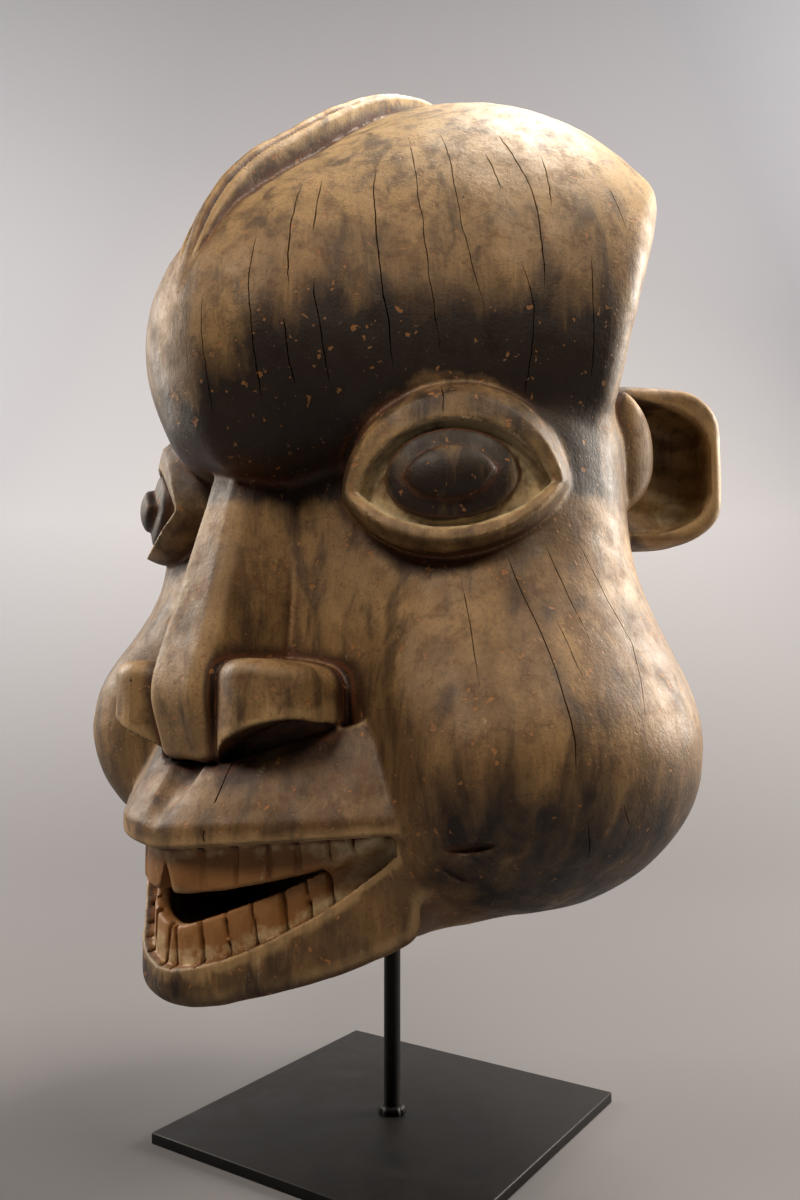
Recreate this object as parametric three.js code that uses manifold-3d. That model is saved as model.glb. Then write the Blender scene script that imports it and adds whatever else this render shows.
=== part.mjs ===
// Helmet mask of the Bamun kind, carved from one log, on its rod and square foot plate.
// Millimetres, +Z up. The origin is the centre of the plate's underside, on the rod's axis.
// The mask looks along -Y and its left ear is on +X.

import * as THREE from 'three';
import Module from 'manifold-3d';
import { mergeVertices } from 'three/addons/utils/BufferGeometryUtils.js';
import { RoundedBoxGeometry } from 'three/addons/geometries/RoundedBoxGeometry.js';

const wasm = await Module();
wasm.setup();

// Driving dimensions: the stand
const PLATE_SIDE = 160;
const PLATE_THICKNESS = 5;
const PLATE_CORNER = 2;
const PLATE_TURN = 0.138;
const ROD_RADIUS = 4;
const WELD_RADIUS = 6.5;
const WELD_HEIGHT = 2;
const GAP = 0.3;

// Driving dimensions: the masses of the head
const SKULL = { y: 35.5, z: 396.4, rx: 124.6, ry: 98, rz: 114.5, blend: 60 };
const LOBE = { x: 52, y: -11, z: 361, turn: 0.9, along: 132, out: 65, up: 80, blend: 44 };
const KEEL = { y: -92, z: 340, radius: 22, lean: 0.22, top: 360, topRound: 20, blend: 26 };
const TEMPLE = { turn: 0.616, lean: -0.246, z: 330, out: 100, flatTo: -42, curve: 520, round: 16 };
const BROW = { z: 289, arch: 20, archWidth: 40, backY: 20, frontY: -40, round: 18 };
const NAPE = { drop: 60, startY: 10, endY: 80 };
const NECK = { y: 12, rx: 97, ry: 90, rimZ: 119, topZ: 350, waist: 0.8, fullZ: 215 };
const NECK_ROUND = { rim: 6, top: 40 };
const MUZZLE_ROOT = { y: -30, radius: 57, lowZ: 175, topZ: 320, round: 10, blend: 20 };
const CHEEK = { x: 75, y: -20, z: 185, radius: 88, waist: 50, fall: 60, drop: 69, lean: 0.12, topZ: 345 };
const CHEEK_BLEND = { top: 40, low: 10, more: 24, lowZ: 120, highZ: 210 };
const SKIN = { around: 34, down: 22, reach: 260, halvings: 24 };
const CROWN_CENTRE = new THREE.Vector3(0, 0, 385);
const FACE_CENTRE = new THREE.Vector3(0, -10, 215);

// Driving dimensions: lips, teeth and jaw
const LIP_CENTRE_Y = -80;
const LIP = { half: 99, reach: 60, front: 23, levels: 5, slope: 28, topHalf: 75, topReach: 39 };
const UPPER_TEETH = { half: 84.5, reach: 53.8, front: 20.5 };
const LOWER_TEETH = { half: 73.5, reach: 50, front: 13.5 };
const JAW = { half: 86, reach: 54.5, front: 15, backY: -30, topZ: 158 };
const JAW_SECTIONS = [
  { size: 0.15, up: 0 },
  { size: 0.7, up: 0 },
  { size: 0.9, up: 2 },
  { size: 0.98, up: 7 },
  { size: 1, up: 14 },
];
const JAW_NARROWS_TO_Y = -60;
const MUZZLE_CORNER = 7;
const MOUTH_HALF = 82;
const MOUTH_BACK_Y = -84;
const MOUTH_SHAVED = 0.6;
const GAP_HALF = 51;
const GAP_BACK_Y = -76;
const THROAT_OVER = 1;
const TEETH_BACK_Y = -60;
const TEETH_ROOT = 8;
const SLOT = { width: 1.4, depth: 2.2, past: 3 };
const UPPER_SLOTS = [0, 18.5, 29.7, 39.6, 48.5, 58.1];
const LOWER_SLOTS = [0, 12.5, 21.4, 29.8, 39.3, 47.1];
const LIP_BOTTOM = { middle: 147.2, rise: 8, at: 82, power: 1 };
const LIP_BAND_TOP = { middle: 157, rise: 5.5, at: 82, power: 1 };
const UPPER_EDGE = { middle: 130.2, rise: 20, at: 76, power: 1.7 };
const LOWER_EDGE = { middle: 117, rise: 33.5, at: 69, power: 1.4 };
const GUM_LINE = { middle: 102, rise: 44.7, at: 77, power: 1.75 };
const CHIN = { z: 84.5, rise: 6, at: 80, frontY: -128, length: 52, lift: 0.25, curve: 0.006 };
const GROOVE = { radius: 11, lowY: -148.8, highY: -119.7, lowZ: 164.6, highZ: 189.7 };

// Driving dimensions: nose
const NOSE = { tipY: -134.5, tipZ: 209, lowZ: 180, topZ: 315, rise: 0.315, tuck: 0.3, half: 17, base: 22 };
const NOSE_BACK_Y = -60;
const NOSE_HALF_SECTION = [[-1, 1], [-1, 0.45], [-0.84, 0.1], [-0.7, 0.02], [-0.45, 0]];
const NOSE_WINGWARD = { swell: 2, lowZ: 205, highZ: 230 };
const ALA = { x: 31.4, y: -100.3, z: 203.5, turn: 0.42, wide: 50, deep: 58, high: 37, round: 12 };
const NOSTRIL = { z: 186, half: 17, high: 9.5, depth: 19 };

// Driving dimensions: eyes, ears and crest
const EYE = { x: 86, y: -58.5, z: 290, turn: 0.611, tilt: 0.04, ball: 55, proud: 20 };
const LID = { half: 45, top: 46, bottom: 27, thick: 5.5, backOut: -18 };
const APERTURE = { half: 38.5, top: 25, bottom: 17.6, recess: 2.5, backOut: -6 };
const EYE_FRONT_OUT = 40;
const IRIS = { rx: 26.3, rz: 18.3, up: 3.8, proud: 1.5 };
const PUPIL = { half: 18, top: 10.5, proud: 6.5 };
const EAR = { x: 121, y: 38, z: 310.5, turn: 0.873, wide: 86, deep: 48, high: 76, round: 20, wall: 7 };
const EAR_CUP = { out: 5, forward: 10, rim: 3, insideDeep: 40, insideIn: 1, insideBack: 4, insideRound: 15 };
const TRAGUS = { x: 113, y: 26, z: 314.5, wide: 14, thick: 10, high: 25 };
const CREST = { half: 8, edge: 8, middle: 12.5, groove: 2, rootZ: 376, fullZ: 455, sunk: 6, levels: 26 };
const CREST_RIDGES = [[8, 0], [5.4, 0], [3.6, 1], [2, 0], [0, 0], [-2, 0], [-3.6, 1], [-5.4, 0], [-8, 0]];
const CREST_RUN = { napeAngle: Math.PI + 0.4, frontAngle: -0.07, fade: 0.85, pointed: 20 };

// Driving dimensions: the hollow that takes the wearer's head
const HOLLOW = { y: 30, z: 380, rx: 82, ry: 78, rz: 112 };
const NECK_HOLE = { y: 16, rx: 70, ry: 62, lowZ: 60, topZ: 380 };

const WOOD = new THREE.MeshStandardMaterial({ color: 0x6b5a44, roughness: 0.55, metalness: 0 });
const STEEL = new THREE.MeshStandardMaterial({ color: 0x17171a, roughness: 0.45, metalness: 0.6 });

// Smooth join of two signed distances, k wide
function joined(a, b, k) {
  const h = THREE.MathUtils.clamp(0.5 + (0.5 * (b - a)) / k, 0, 1);
  return b * (1 - h) + a * h - k * h * (1 - h);
}

function trimmed(a, b, k) {
  return -joined(-a, -b, k);
}

function ellipsoid(x, y, z, rx, ry, rz) {
  const reach = Math.hypot(x / rx, y / ry, z / rz) + 1e-6;
  const slope = Math.hypot(x / rx ** 2, y / ry ** 2, z / rz ** 2) + 1e-9;
  return (reach * (reach - 1)) / slope;
}

// Place seen from a centre turned about Z: how far along the turned face, and how far out of it
function turned(x, y, centreX, centreY, angle) {
  const dx = x - centreX;
  const dy = y - centreY;
  return {
    along: dx * Math.cos(angle) + dy * Math.sin(angle),
    out: dx * Math.sin(angle) - dy * Math.cos(angle),
  };
}

// Two brow lobes, the crown and a keel between the lobes, cut by the leaning temples and the brow
function upperHead(x, y, z) {
  const lobe = (side) => {
    const at = turned(x * side, y, LOBE.x, LOBE.y, LOBE.turn);
    return ellipsoid(at.along, at.out, z - LOBE.z, LOBE.along, LOBE.out, LOBE.up);
  };
  const keelY = KEEL.y + KEEL.lean * (z - KEEL.z);
  const keel = trimmed(Math.hypot(x, y - keelY) - KEEL.radius, z - KEEL.top, KEEL.topRound);
  const crown = ellipsoid(x, y - SKULL.y, z - SKULL.z, SKULL.rx, SKULL.ry, SKULL.rz);
  const side = Math.abs(x);
  const temple = {
    across: -side * Math.sin(TEMPLE.turn) + y * Math.cos(TEMPLE.turn),
    out: side * Math.cos(TEMPLE.turn) + y * Math.sin(TEMPLE.turn),
  };
  const curved = Math.max(temple.across - TEMPLE.flatTo, 0) ** 2 / TEMPLE.curve;
  const leaning = temple.out * Math.cos(TEMPLE.lean) + (z - TEMPLE.z) * Math.sin(TEMPLE.lean);
  const eyeward = turned(side, y, EYE.x, EYE.y, EYE.turn).along;
  const forward = THREE.MathUtils.smoothstep(-y, -BROW.backY, -BROW.frontY);
  const arched = BROW.arch * Math.exp(-((eyeward / BROW.archWidth) ** 2)) * forward;
  const browZ = BROW.z + arched - NAPE.drop * THREE.MathUtils.smoothstep(y, NAPE.startY, NAPE.endY);
  let mass = joined(lobe(1), lobe(-1), LOBE.blend);
  mass = joined(mass, keel, KEEL.blend);
  mass = joined(mass, crown, SKULL.blend);
  mass = trimmed(mass, leaning - TEMPLE.out + curved, TEMPLE.round);
  return trimmed(mass, browZ - z, BROW.round);
}

// Neck barrel, swollen cheeks and the mass behind the nose
function lowerFace(x, y, z) {
  const side = Math.abs(x);
  const full = NECK.waist + (1 - NECK.waist) * THREE.MathUtils.smoothstep(z, NECK.rimZ, NECK.fullZ);
  const round = Math.hypot(x / (NECK.rx * full), (y - NECK.y) / (NECK.ry * full)) + 1e-6;
  let barrel = Math.hypot(x, y - NECK.y) * (1 - 1 / round);
  barrel = trimmed(trimmed(barrel, NECK.rimZ - z, NECK_ROUND.rim), z - NECK.topZ, NECK_ROUND.top);
  let root = Math.hypot(x, y - MUZZLE_ROOT.y) - MUZZLE_ROOT.radius;
  root = trimmed(root, MUZZLE_ROOT.lowZ - z, MUZZLE_ROOT.round);
  root = trimmed(root, z - MUZZLE_ROOT.topZ, MUZZLE_ROOT.round);
  const rise = z - CHEEK.z;
  const cheekY = CHEEK.y + CHEEK.lean * Math.max(rise, 0);
  const fromAxis = Math.hypot(side - CHEEK.x, y - cheekY);
  const swell = CHEEK.waist + (CHEEK.radius - CHEEK.waist) * Math.exp(-((rise / CHEEK.fall) ** 2));
  const under = ellipsoid(side - CHEEK.x, y - cheekY, rise, CHEEK.radius, CHEEK.radius, CHEEK.drop);
  const cheek = trimmed(rise > 0 ? fromAxis - swell : under, z - CHEEK.topZ, CHEEK_BLEND.top);
  const higher = THREE.MathUtils.smoothstep(z, CHEEK_BLEND.lowZ, CHEEK_BLEND.highZ);
  const blend = CHEEK_BLEND.low + CHEEK_BLEND.more * higher;
  return joined(joined(barrel, root, MUZZLE_ROOT.blend), cheek, blend);
}

// Closed skin round a centre: a ball whose points move out to where the mass ends
function skin(mass, centre) {
  const ball = new THREE.SphereGeometry(1, SKIN.around, SKIN.down).rotateX(Math.PI / 2);
  return warped(ball, (point) => {
    const ray = point.clone().normalize();
    let inner = 0;
    let outer = SKIN.reach;
    for (let halving = 0; halving < SKIN.halvings; halving += 1) {
      const middle = (inner + outer) / 2;
      const at = ray.clone().multiplyScalar(middle).add(centre);
      if (mass(at.x, at.y, at.z) < 0) inner = middle;
      else outer = middle;
    }
    return ray.multiplyScalar(inner).add(centre);
  });
}

function warped(geometry, move) {
  const places = geometry.attributes.position;
  const point = new THREE.Vector3();
  for (let i = 0; i < places.count; i += 1) {
    const moved = move(point.fromBufferAttribute(places, i));
    places.setXYZ(i, moved.x, moved.y, moved.z);
  }
  return geometry;
}

function solid(geometry) {
  const bare = geometry.clone();
  bare.deleteAttribute('normal');
  bare.deleteAttribute('uv');
  const merged = mergeVertices(bare, 1e-4);
  return new wasm.Manifold(new wasm.Mesh({
    numProp: 3,
    vertProperties: Float32Array.from(merged.attributes.position.array),
    triVerts: Uint32Array.from(merged.index.array),
  }));
}

function geometryOf(manifold) {
  const mesh = manifold.getMesh();
  const geometry = new THREE.BufferGeometry();
  geometry.setAttribute('position', new THREE.BufferAttribute(mesh.vertProperties, 3));
  geometry.setIndex(new THREE.BufferAttribute(mesh.triVerts, 1));
  geometry.computeVertexNormals();
  return geometry;
}

// Plan of the muzzle before the lip centre: a wedge with straight sides and a blunt front
function muzzlePlan({ half, reach, front }, backY = -LIP_CENTRE_Y / 2, corner = MUZZLE_CORNER) {
  const length = Math.hypot(half - front, reach);
  const sideX = front + (corner * (half - front)) / length;
  const sideY = -reach + (corner * reach) / length;
  const plan = new THREE.Shape();
  plan.moveTo(-half, backY);
  plan.lineTo(-half, 0);
  plan.lineTo(-sideX, sideY);
  plan.quadraticCurveTo(-front, -reach, -front + corner, -reach);
  plan.lineTo(front - corner, -reach);
  plan.quadraticCurveTo(front, -reach, sideX, sideY);
  plan.lineTo(half, 0);
  plan.lineTo(half, backY);
  return plan;
}

function muzzlePrism(plan, levels) {
  const settings = { depth: levels, steps: levels, bevelEnabled: false, curveSegments: 4 };
  return new THREE.ExtrudeGeometry(plan, settings);
}

// Heights along the mouth, by how far across it a place is
const lineOf = ({ middle, rise, at, power }) => (x) => middle + rise * (Math.abs(x) / at) ** power;
const lipBottom = lineOf(LIP_BOTTOM);
const lipBandTop = lineOf(LIP_BAND_TOP);
const upperTeethEdge = lineOf(UPPER_EDGE);
const lowerTeethEdge = lineOf(LOWER_EDGE);
const gumLine = lineOf(GUM_LINE);
const jawUnderside = (x, y) => {
  const across = Math.min(Math.abs(x) / CHIN.at, 1);
  const back = THREE.MathUtils.clamp(y - CHIN.frontY, 0, CHIN.length);
  return CHIN.z + CHIN.rise * across ** 2 + CHIN.lift * back + CHIN.curve * back ** 2;
};

// Upper lip: an upright band below, then a slope that narrows up to the nose
function upperLip() {
  const { levels } = LIP;
  return warped(muzzlePrism(muzzlePlan(LIP), levels), (point) => {
    const level = Math.round(point.z);
    const narrowed = Math.max(level - 1, 0) / (levels - 1);
    const x = point.x * THREE.MathUtils.lerp(1, LIP.topHalf / LIP.half, narrowed);
    const drawnIn = THREE.MathUtils.lerp(1, LIP.topReach / LIP.reach, narrowed);
    const y = LIP_CENTRE_Y + point.y * (point.y < 0 ? drawnIn : 1);
    const z = level === 0 ? lipBottom(x) : lipBandTop(x) + LIP.slope * narrowed;
    return point.set(x, y, z);
  });
}

// Lower jaw: an upright lip face, rounded under into a keel-shaped underside
function lowerJaw() {
  const levels = JAW_SECTIONS.length;
  const centre = JAW_NARROWS_TO_Y - LIP_CENTRE_Y;
  return warped(muzzlePrism(muzzlePlan(JAW, JAW.backY - LIP_CENTRE_Y), levels), (point) => {
    const level = Math.round(point.z);
    const section = JAW_SECTIONS[Math.min(level, levels - 1)];
    const x = point.x * section.size;
    const y = JAW_NARROWS_TO_Y + (point.y - centre) * section.size;
    const z = level < levels ? jawUnderside(x, y) + section.up : JAW.topZ;
    return point.set(x, y, z);
  });
}

// A band as wide as the mouth between two heights, from the face back to a depth
function mouthBand(lower, upper, half, backY) {
  const steps = 18;
  const frontY = -170;
  const band = new THREE.Shape();
  for (let i = 0; i <= steps; i += 1) {
    const x = half * (-1 + (2 * i) / steps);
    if (i === 0) band.moveTo(x, lower(x));
    else band.lineTo(x, lower(x));
  }
  for (let i = steps; i >= 0; i -= 1) {
    const x = half * (-1 + (2 * i) / steps);
    band.lineTo(x, upper(x));
  }
  const body = new THREE.ExtrudeGeometry(band, { depth: backY - frontY, bevelEnabled: false });
  return solid(body.rotateX(Math.PI / 2).translate(0, backY, 0));
}

function teethRow(plan, lower, upper) {
  const arch = muzzlePrism(muzzlePlan(plan), 1).scale(1, 1, NECK.rimZ);
  return solid(arch.translate(0, LIP_CENTRE_Y, -LIP_CENTRE_Y))
    .intersect(mouthBand(lower, upper, MOUTH_HALF, TEETH_BACK_Y));
}

function slotted(row, plan, slots, low, high) {
  return slots.reduce((rest, x) => rest
    .subtract(toothSlot(plan, x, low(x), high(x)))
    .subtract(toothSlot(plan, -x, low(x), high(x))), row);
}

function upperTeeth() {
  const row = teethRow(UPPER_TEETH, upperTeethEdge, (x) => lipBottom(x) + TEETH_ROOT);
  const low = (x) => upperTeethEdge(x) - SLOT.past;
  return slotted(row, UPPER_TEETH, UPPER_SLOTS, low, (x) => lipBottom(x) + SLOT.past);
}

function lowerTeeth() {
  const row = teethRow(LOWER_TEETH, (x) => gumLine(x) - TEETH_ROOT, lowerTeethEdge);
  const high = (x) => lowerTeethEdge(x) + SLOT.past;
  return slotted(row, LOWER_TEETH, LOWER_SLOTS, (x) => gumLine(x) - SLOT.past, high);
}

// A saw cut between two teeth, square to the arch
function toothSlot({ half, reach, front }, x, low, high) {
  const beside = Math.max(Math.abs(x) - front, 0);
  const slope = beside > 0 ? (Math.sign(x) * reach) / (half - front) : 0;
  const y = LIP_CENTRE_Y - reach + Math.abs(slope) * beside;
  const cut = new THREE.BoxGeometry(SLOT.width, 2 * SLOT.depth, high - low);
  return solid(cut.rotateZ(Math.atan(slope)).translate(x, y, (low + high) / 2));
}

// The groove down the middle of the upper lip, deepest under the nose
function lipGroove() {
  const low = new THREE.Vector3(0, GROOVE.lowY, GROOVE.lowZ);
  const high = new THREE.Vector3(0, GROOVE.highY, GROOVE.highZ);
  const along = high.clone().sub(low);
  const cut = new THREE.CylinderGeometry(GROOVE.radius, GROOVE.radius, along.length(), 16);
  const upright = new THREE.Vector3(0, 1, 0);
  const turn = new THREE.Quaternion().setFromUnitVectors(upright, along.clone().normalize());
  return solid(cut.applyQuaternion(turn).translate(...low.add(high).multiplyScalar(0.5)));
}

// Nose: a blunt wedge from the brow down to the tip, tucked under
function nose() {
  const levels = 9;
  const mirrored = [...NOSE_HALF_SECTION].reverse().map(([across, back]) => [-across, back]);
  const section = new THREE.Shape([...NOSE_HALF_SECTION, ...mirrored].map(([x, y]) => new THREE.Vector2(x, y)));
  const body = new THREE.ExtrudeGeometry(section, { depth: levels, steps: levels, bevelEnabled: false });
  return warped(body, (point) => {
    const z = THREE.MathUtils.lerp(NOSE.lowZ, NOSE.topZ, point.z / levels);
    const above = Math.max(z - NOSE.tipZ, 0);
    const below = Math.max(NOSE.tipZ - z, 0);
    const frontY = NOSE.tipY + NOSE.rise * above + NOSE.tuck * below;
    const lower = THREE.MathUtils.smoothstep(-z, -NOSE_WINGWARD.highZ, -NOSE_WINGWARD.lowZ);
    const swollen = NOSE_WINGWARD.swell * lower;
    const half = THREE.MathUtils.lerp(NOSE.half, NOSE.base, Math.min(point.y, 0.5) * 2) + swollen;
    return point.set(point.x * half, THREE.MathUtils.lerp(frontY, NOSE_BACK_Y, point.y), z);
  });
}

function ala(side) {
  const body = new RoundedBoxGeometry(ALA.wide, ALA.deep, ALA.high, 2, ALA.round);
  body.rotateZ(side * ALA.turn).translate(side * ALA.x, ALA.y, ALA.z);
  const hole = new THREE.CylinderGeometry(1, 1, NOSTRIL.depth, 16);
  hole.scale(NOSTRIL.half, 1, NOSTRIL.high).translate(0, -ALA.deep / 2, 0);
  hole.rotateZ(side * ALA.turn).translate(side * ALA.x, ALA.y, NOSTRIL.z);
  return solid(body).subtract(solid(hole));
}

// An almond from two arcs that meet at its corners
function almond(half, top, bottom, centreUp = 0) {
  const steps = 14;
  const shape = new THREE.Shape();
  const arcHeight = (rise, x) => {
    const radius = (half * half + rise * rise) / (2 * rise);
    return Math.sqrt(radius * radius - x * x) - (radius - rise);
  };
  shape.moveTo(-half, centreUp);
  for (let i = 1; i <= steps; i += 1) {
    const x = half * (-1 + (2 * i) / steps);
    shape.lineTo(x, centreUp - (i < steps ? arcHeight(bottom, x) : 0));
  }
  for (let i = steps - 1; i > 0; i -= 1) {
    const x = half * (-1 + (2 * i) / steps);
    shape.lineTo(x, centreUp + arcHeight(top, x));
  }
  return shape;
}

// Prism that looks out of the face: outline across and up, from a depth to in front of the eye
function eyePrism(shape, from, to) {
  const prism = new THREE.ExtrudeGeometry(shape, { depth: to - from, bevelEnabled: false });
  return solid(prism.translate(0, 0, from).rotateX(Math.PI / 2));
}

function eyeball(grow) {
  const ball = new THREE.SphereGeometry(EYE.ball + grow, 28, 20).rotateX(Math.PI / 2);
  return solid(ball.translate(0, EYE.ball - EYE.proud, 0));
}

function placedEye(manifold, side) {
  const place = new THREE.Matrix4().makeRotationZ(side * EYE.turn);
  place.multiply(new THREE.Matrix4().makeRotationY(-side * EYE.tilt));
  place.setPosition(side * EYE.x, EYE.y, EYE.z);
  return manifold.transform(place.elements);
}

function withEye(head, side) {
  const lidOutline = almond(LID.half, LID.top, LID.bottom);
  const slit = almond(APERTURE.half, APERTURE.top, APERTURE.bottom);
  const lid = eyeball(LID.thick).intersect(eyePrism(lidOutline, LID.backOut, EYE_FRONT_OUT));
  const opening = eyePrism(slit, APERTURE.backOut, EYE_FRONT_OUT);
  const recess = opening.subtract(eyeball(-APERTURE.recess));
  const disc = new THREE.Shape();
  disc.absellipse(0, IRIS.up, IRIS.rx, IRIS.rz, 0, 2 * Math.PI);
  const iris = eyeball(IRIS.proud).intersect(eyePrism(disc, LID.backOut, EYE_FRONT_OUT));
  const dome = new THREE.SphereGeometry(1, 16, 10).scale(PUPIL.half + 1, PUPIL.proud, PUPIL.top + 1);
  const pupilOutline = eyePrism(almond(PUPIL.half, PUPIL.top, PUPIL.top, IRIS.up), 0, EYE_FRONT_OUT);
  const pupil = solid(dome.translate(0, -EYE.proud, IRIS.up)).intersect(pupilOutline);
  return head
    .add(placedEye(lid, side))
    .subtract(placedEye(recess, side))
    .add(placedEye(iris, side))
    .add(placedEye(pupil, side));
}

// Ear: a cup with a thick rim, open to the front, and a leaf-shaped tragus before it
function ear(side) {
  const cup = new RoundedBoxGeometry(EAR.wide, EAR.deep, EAR.high, 2, EAR.round);
  cup.translate(EAR_CUP.out, EAR.deep / 2 - EAR_CUP.forward, 0);
  const rimCut = new THREE.BoxGeometry(2 * EAR.wide, EAR.deep, 2 * EAR.high);
  rimCut.translate(0, -EAR.deep / 2 - EAR_CUP.rim, 0);
  const wide = EAR.wide - EAR.wall - EAR_CUP.rim;
  const high = EAR.high - 2 * EAR.wall;
  const inside = new RoundedBoxGeometry(wide, EAR_CUP.insideDeep, high, 2, EAR_CUP.insideRound);
  inside.translate(-EAR_CUP.insideIn, EAR_CUP.insideBack, 0);
  let body = solid(cup).subtract(solid(rimCut)).subtract(solid(inside));
  const place = new THREE.Matrix4();
  if (side < 0) body = body.mirror([1, 0, 0]);
  place.makeRotationZ(side * EAR.turn).setPosition(side * EAR.x, EAR.y, EAR.z);
  return body.transform(place.elements);
}

function tragus(side) {
  const leaf = new THREE.SphereGeometry(1, 16, 12).scale(TRAGUS.wide, TRAGUS.thick, TRAGUS.high);
  return solid(leaf.rotateZ(side * EAR.turn).translate(side * TRAGUS.x, TRAGUS.y, TRAGUS.z));
}

// Crest: three ridges from a point on the forehead over the crown and down the nape
function crest(centre) {
  const { half, levels } = CREST;
  const top = (x) => THREE.MathUtils.lerp(CREST.middle, CREST.edge, (x / half) ** 2);
  const ridges = CREST_RIDGES.map(([x, grooved]) => [x, top(x) - CREST.groove * grooved]);
  const outline = [[-half, -CREST.sunk], [half, -CREST.sunk], ...ridges];
  const section = new THREE.Shape(outline.map(([x, up]) => new THREE.Vector2(x, up)));
  const body = new THREE.ExtrudeGeometry(section, { depth: levels, steps: levels, bevelEnabled: false });
  const { napeAngle, frontAngle } = CREST_RUN;
  const onSkull = (angle) => {
    const ray = new THREE.Vector3(0, -Math.cos(angle), Math.sin(angle));
    let reach = 0;
    for (let size = 128; size > 0.01; size /= 2) {
      const at = ray.clone().multiplyScalar(reach + size).add(centre);
      if (upperHead(at.x, at.y, at.z) < 0) reach += size;
    }
    return ray.multiplyScalar(reach).add(centre);
  };
  return warped(body, (point) => {
    const angle = THREE.MathUtils.lerp(napeAngle, frontAngle, point.z / levels);
    const foot = onSkull(angle);
    const along = onSkull(angle + 0.02).sub(onSkull(angle - 0.02)).normalize();
    const outward = new THREE.Vector3(0, -along.z, along.y);
    const rising = angle < Math.PI / 2 ? THREE.MathUtils.smoothstep(foot.z, CREST.rootZ, CREST.fullZ) : 1;
    const fading = 1 - CREST_RUN.fade * THREE.MathUtils.smoothstep(angle, Math.PI / 2, napeAngle);
    const narrowed = angle < Math.PI / 2
      ? Math.sqrt(THREE.MathUtils.clamp((foot.z - CREST.rootZ) / CREST_RUN.pointed, 0.02, 1))
      : 1;
    const up = point.y > 0 ? point.y * rising * fading : point.y;
    const x = point.x * narrowed;
    return point.copy(foot).addScaledVector(outward, up).setX(x);
  });
}

// The hollow: an egg in the crown, and the neck hole below it
function hollow() {
  const egg = new THREE.SphereGeometry(1, 26, 16).rotateX(Math.PI / 2);
  egg.scale(HOLLOW.rx, HOLLOW.ry, HOLLOW.rz).translate(0, HOLLOW.y, HOLLOW.z);
  const length = NECK_HOLE.topZ - NECK_HOLE.lowZ;
  const tube = new THREE.CylinderGeometry(1, 1, length, 26).rotateX(Math.PI / 2);
  tube.scale(NECK_HOLE.rx, NECK_HOLE.ry, 1).translate(0, NECK_HOLE.y, NECK_HOLE.lowZ + length / 2);
  return solid(egg).add(solid(tube));
}

function maskSolid(space) {
  let head = solid(skin(upperHead, CROWN_CENTRE));
  head = head.add(solid(skin(lowerFace, FACE_CENTRE)));
  head = head.add(solid(upperLip()).subtract(lipGroove())).add(solid(lowerJaw()));
  head = head.add(solid(nose())).add(ala(1)).add(ala(-1));
  const shaved = (x) => lipBottom(x) + MOUTH_SHAVED;
  const throatFloor = (x) => lowerTeethEdge(x) - THROAT_OVER;
  const throatRoof = (x) => upperTeethEdge(x) + THROAT_OVER;
  head = head.subtract(mouthBand(gumLine, shaved, MOUTH_HALF, MOUTH_BACK_Y));
  head = head.subtract(mouthBand(throatFloor, throatRoof, GAP_HALF, GAP_BACK_Y));
  head = head.add(upperTeeth()).add(lowerTeeth());
  head = head.add(ear(1)).add(ear(-1)).add(tragus(1)).add(tragus(-1));
  head = withEye(withEye(head, 1), -1);
  head = head.add(solid(crest(CROWN_CENTRE)));
  return head.subtract(space);
}

// Height of the hollow's ceiling over the rod's rim
function ceilingOver(space) {
  const inside = new THREE.Mesh(geometryOf(space), new THREE.MeshBasicMaterial({ side: THREE.DoubleSide }));
  const up = new THREE.Vector3(0, 0, 1);
  const heights = [0, 1, 2, 3, 4, 5, 6, 7].map((eighth) => {
    const angle = (eighth * Math.PI) / 4;
    const start = new THREE.Vector3(ROD_RADIUS * Math.cos(angle), ROD_RADIUS * Math.sin(angle), HOLLOW.z);
    return new THREE.Raycaster(start, up).intersectObject(inside)[0].point.z;
  });
  return Math.min(...heights);
}

function plateGeometry() {
  const half = PLATE_SIDE / 2;
  const inner = half - PLATE_CORNER;
  const plate = new THREE.Shape();
  [[1, 1], [-1, 1], [-1, -1], [1, -1]].forEach(([sx, sy], quarter) => {
    const start = (quarter * Math.PI) / 2;
    plate.absarc(sx * inner, sy * inner, PLATE_CORNER, start, start + Math.PI / 2);
  });
  return new THREE.ExtrudeGeometry(plate, { depth: PLATE_THICKNESS, bevelEnabled: false, curveSegments: 4 });
}

// Rod with the weld bead that joins it to the plate, as one turned profile
function rodGeometry(topZ) {
  const foot = PLATE_THICKNESS + GAP;
  const profile = [
    [0, foot], [WELD_RADIUS, foot], [WELD_RADIUS - 1, foot + WELD_HEIGHT / 2],
    [ROD_RADIUS, foot + WELD_HEIGHT], [ROD_RADIUS, topZ], [0, topZ],
  ];
  const outline = profile.map(([radius, z]) => new THREE.Vector2(radius, z));
  return new THREE.LatheGeometry(outline, 24).rotateX(Math.PI / 2);
}

function part(name, geometry, material) {
  const mesh = new THREE.Mesh(geometry, material);
  mesh.name = name;
  return mesh;
}

const space = hollow();
const mask = part('mask', geometryOf(maskSolid(space)), WOOD);
const rod = part('stand_rod', rodGeometry(ceilingOver(space) - GAP), STEEL);
const plate = part('stand_plate', plateGeometry(), STEEL);
plate.rotation.z = PLATE_TURN;

const maskOnStand = new THREE.Group();
maskOnStand.add(plate, rod, mask);

export default maskOnStand;
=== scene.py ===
import itertools
import math
from concurrent.futures import ThreadPoolExecutor

import bmesh
import bpy
import numpy as np
from mathutils import Matrix, Vector


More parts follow.
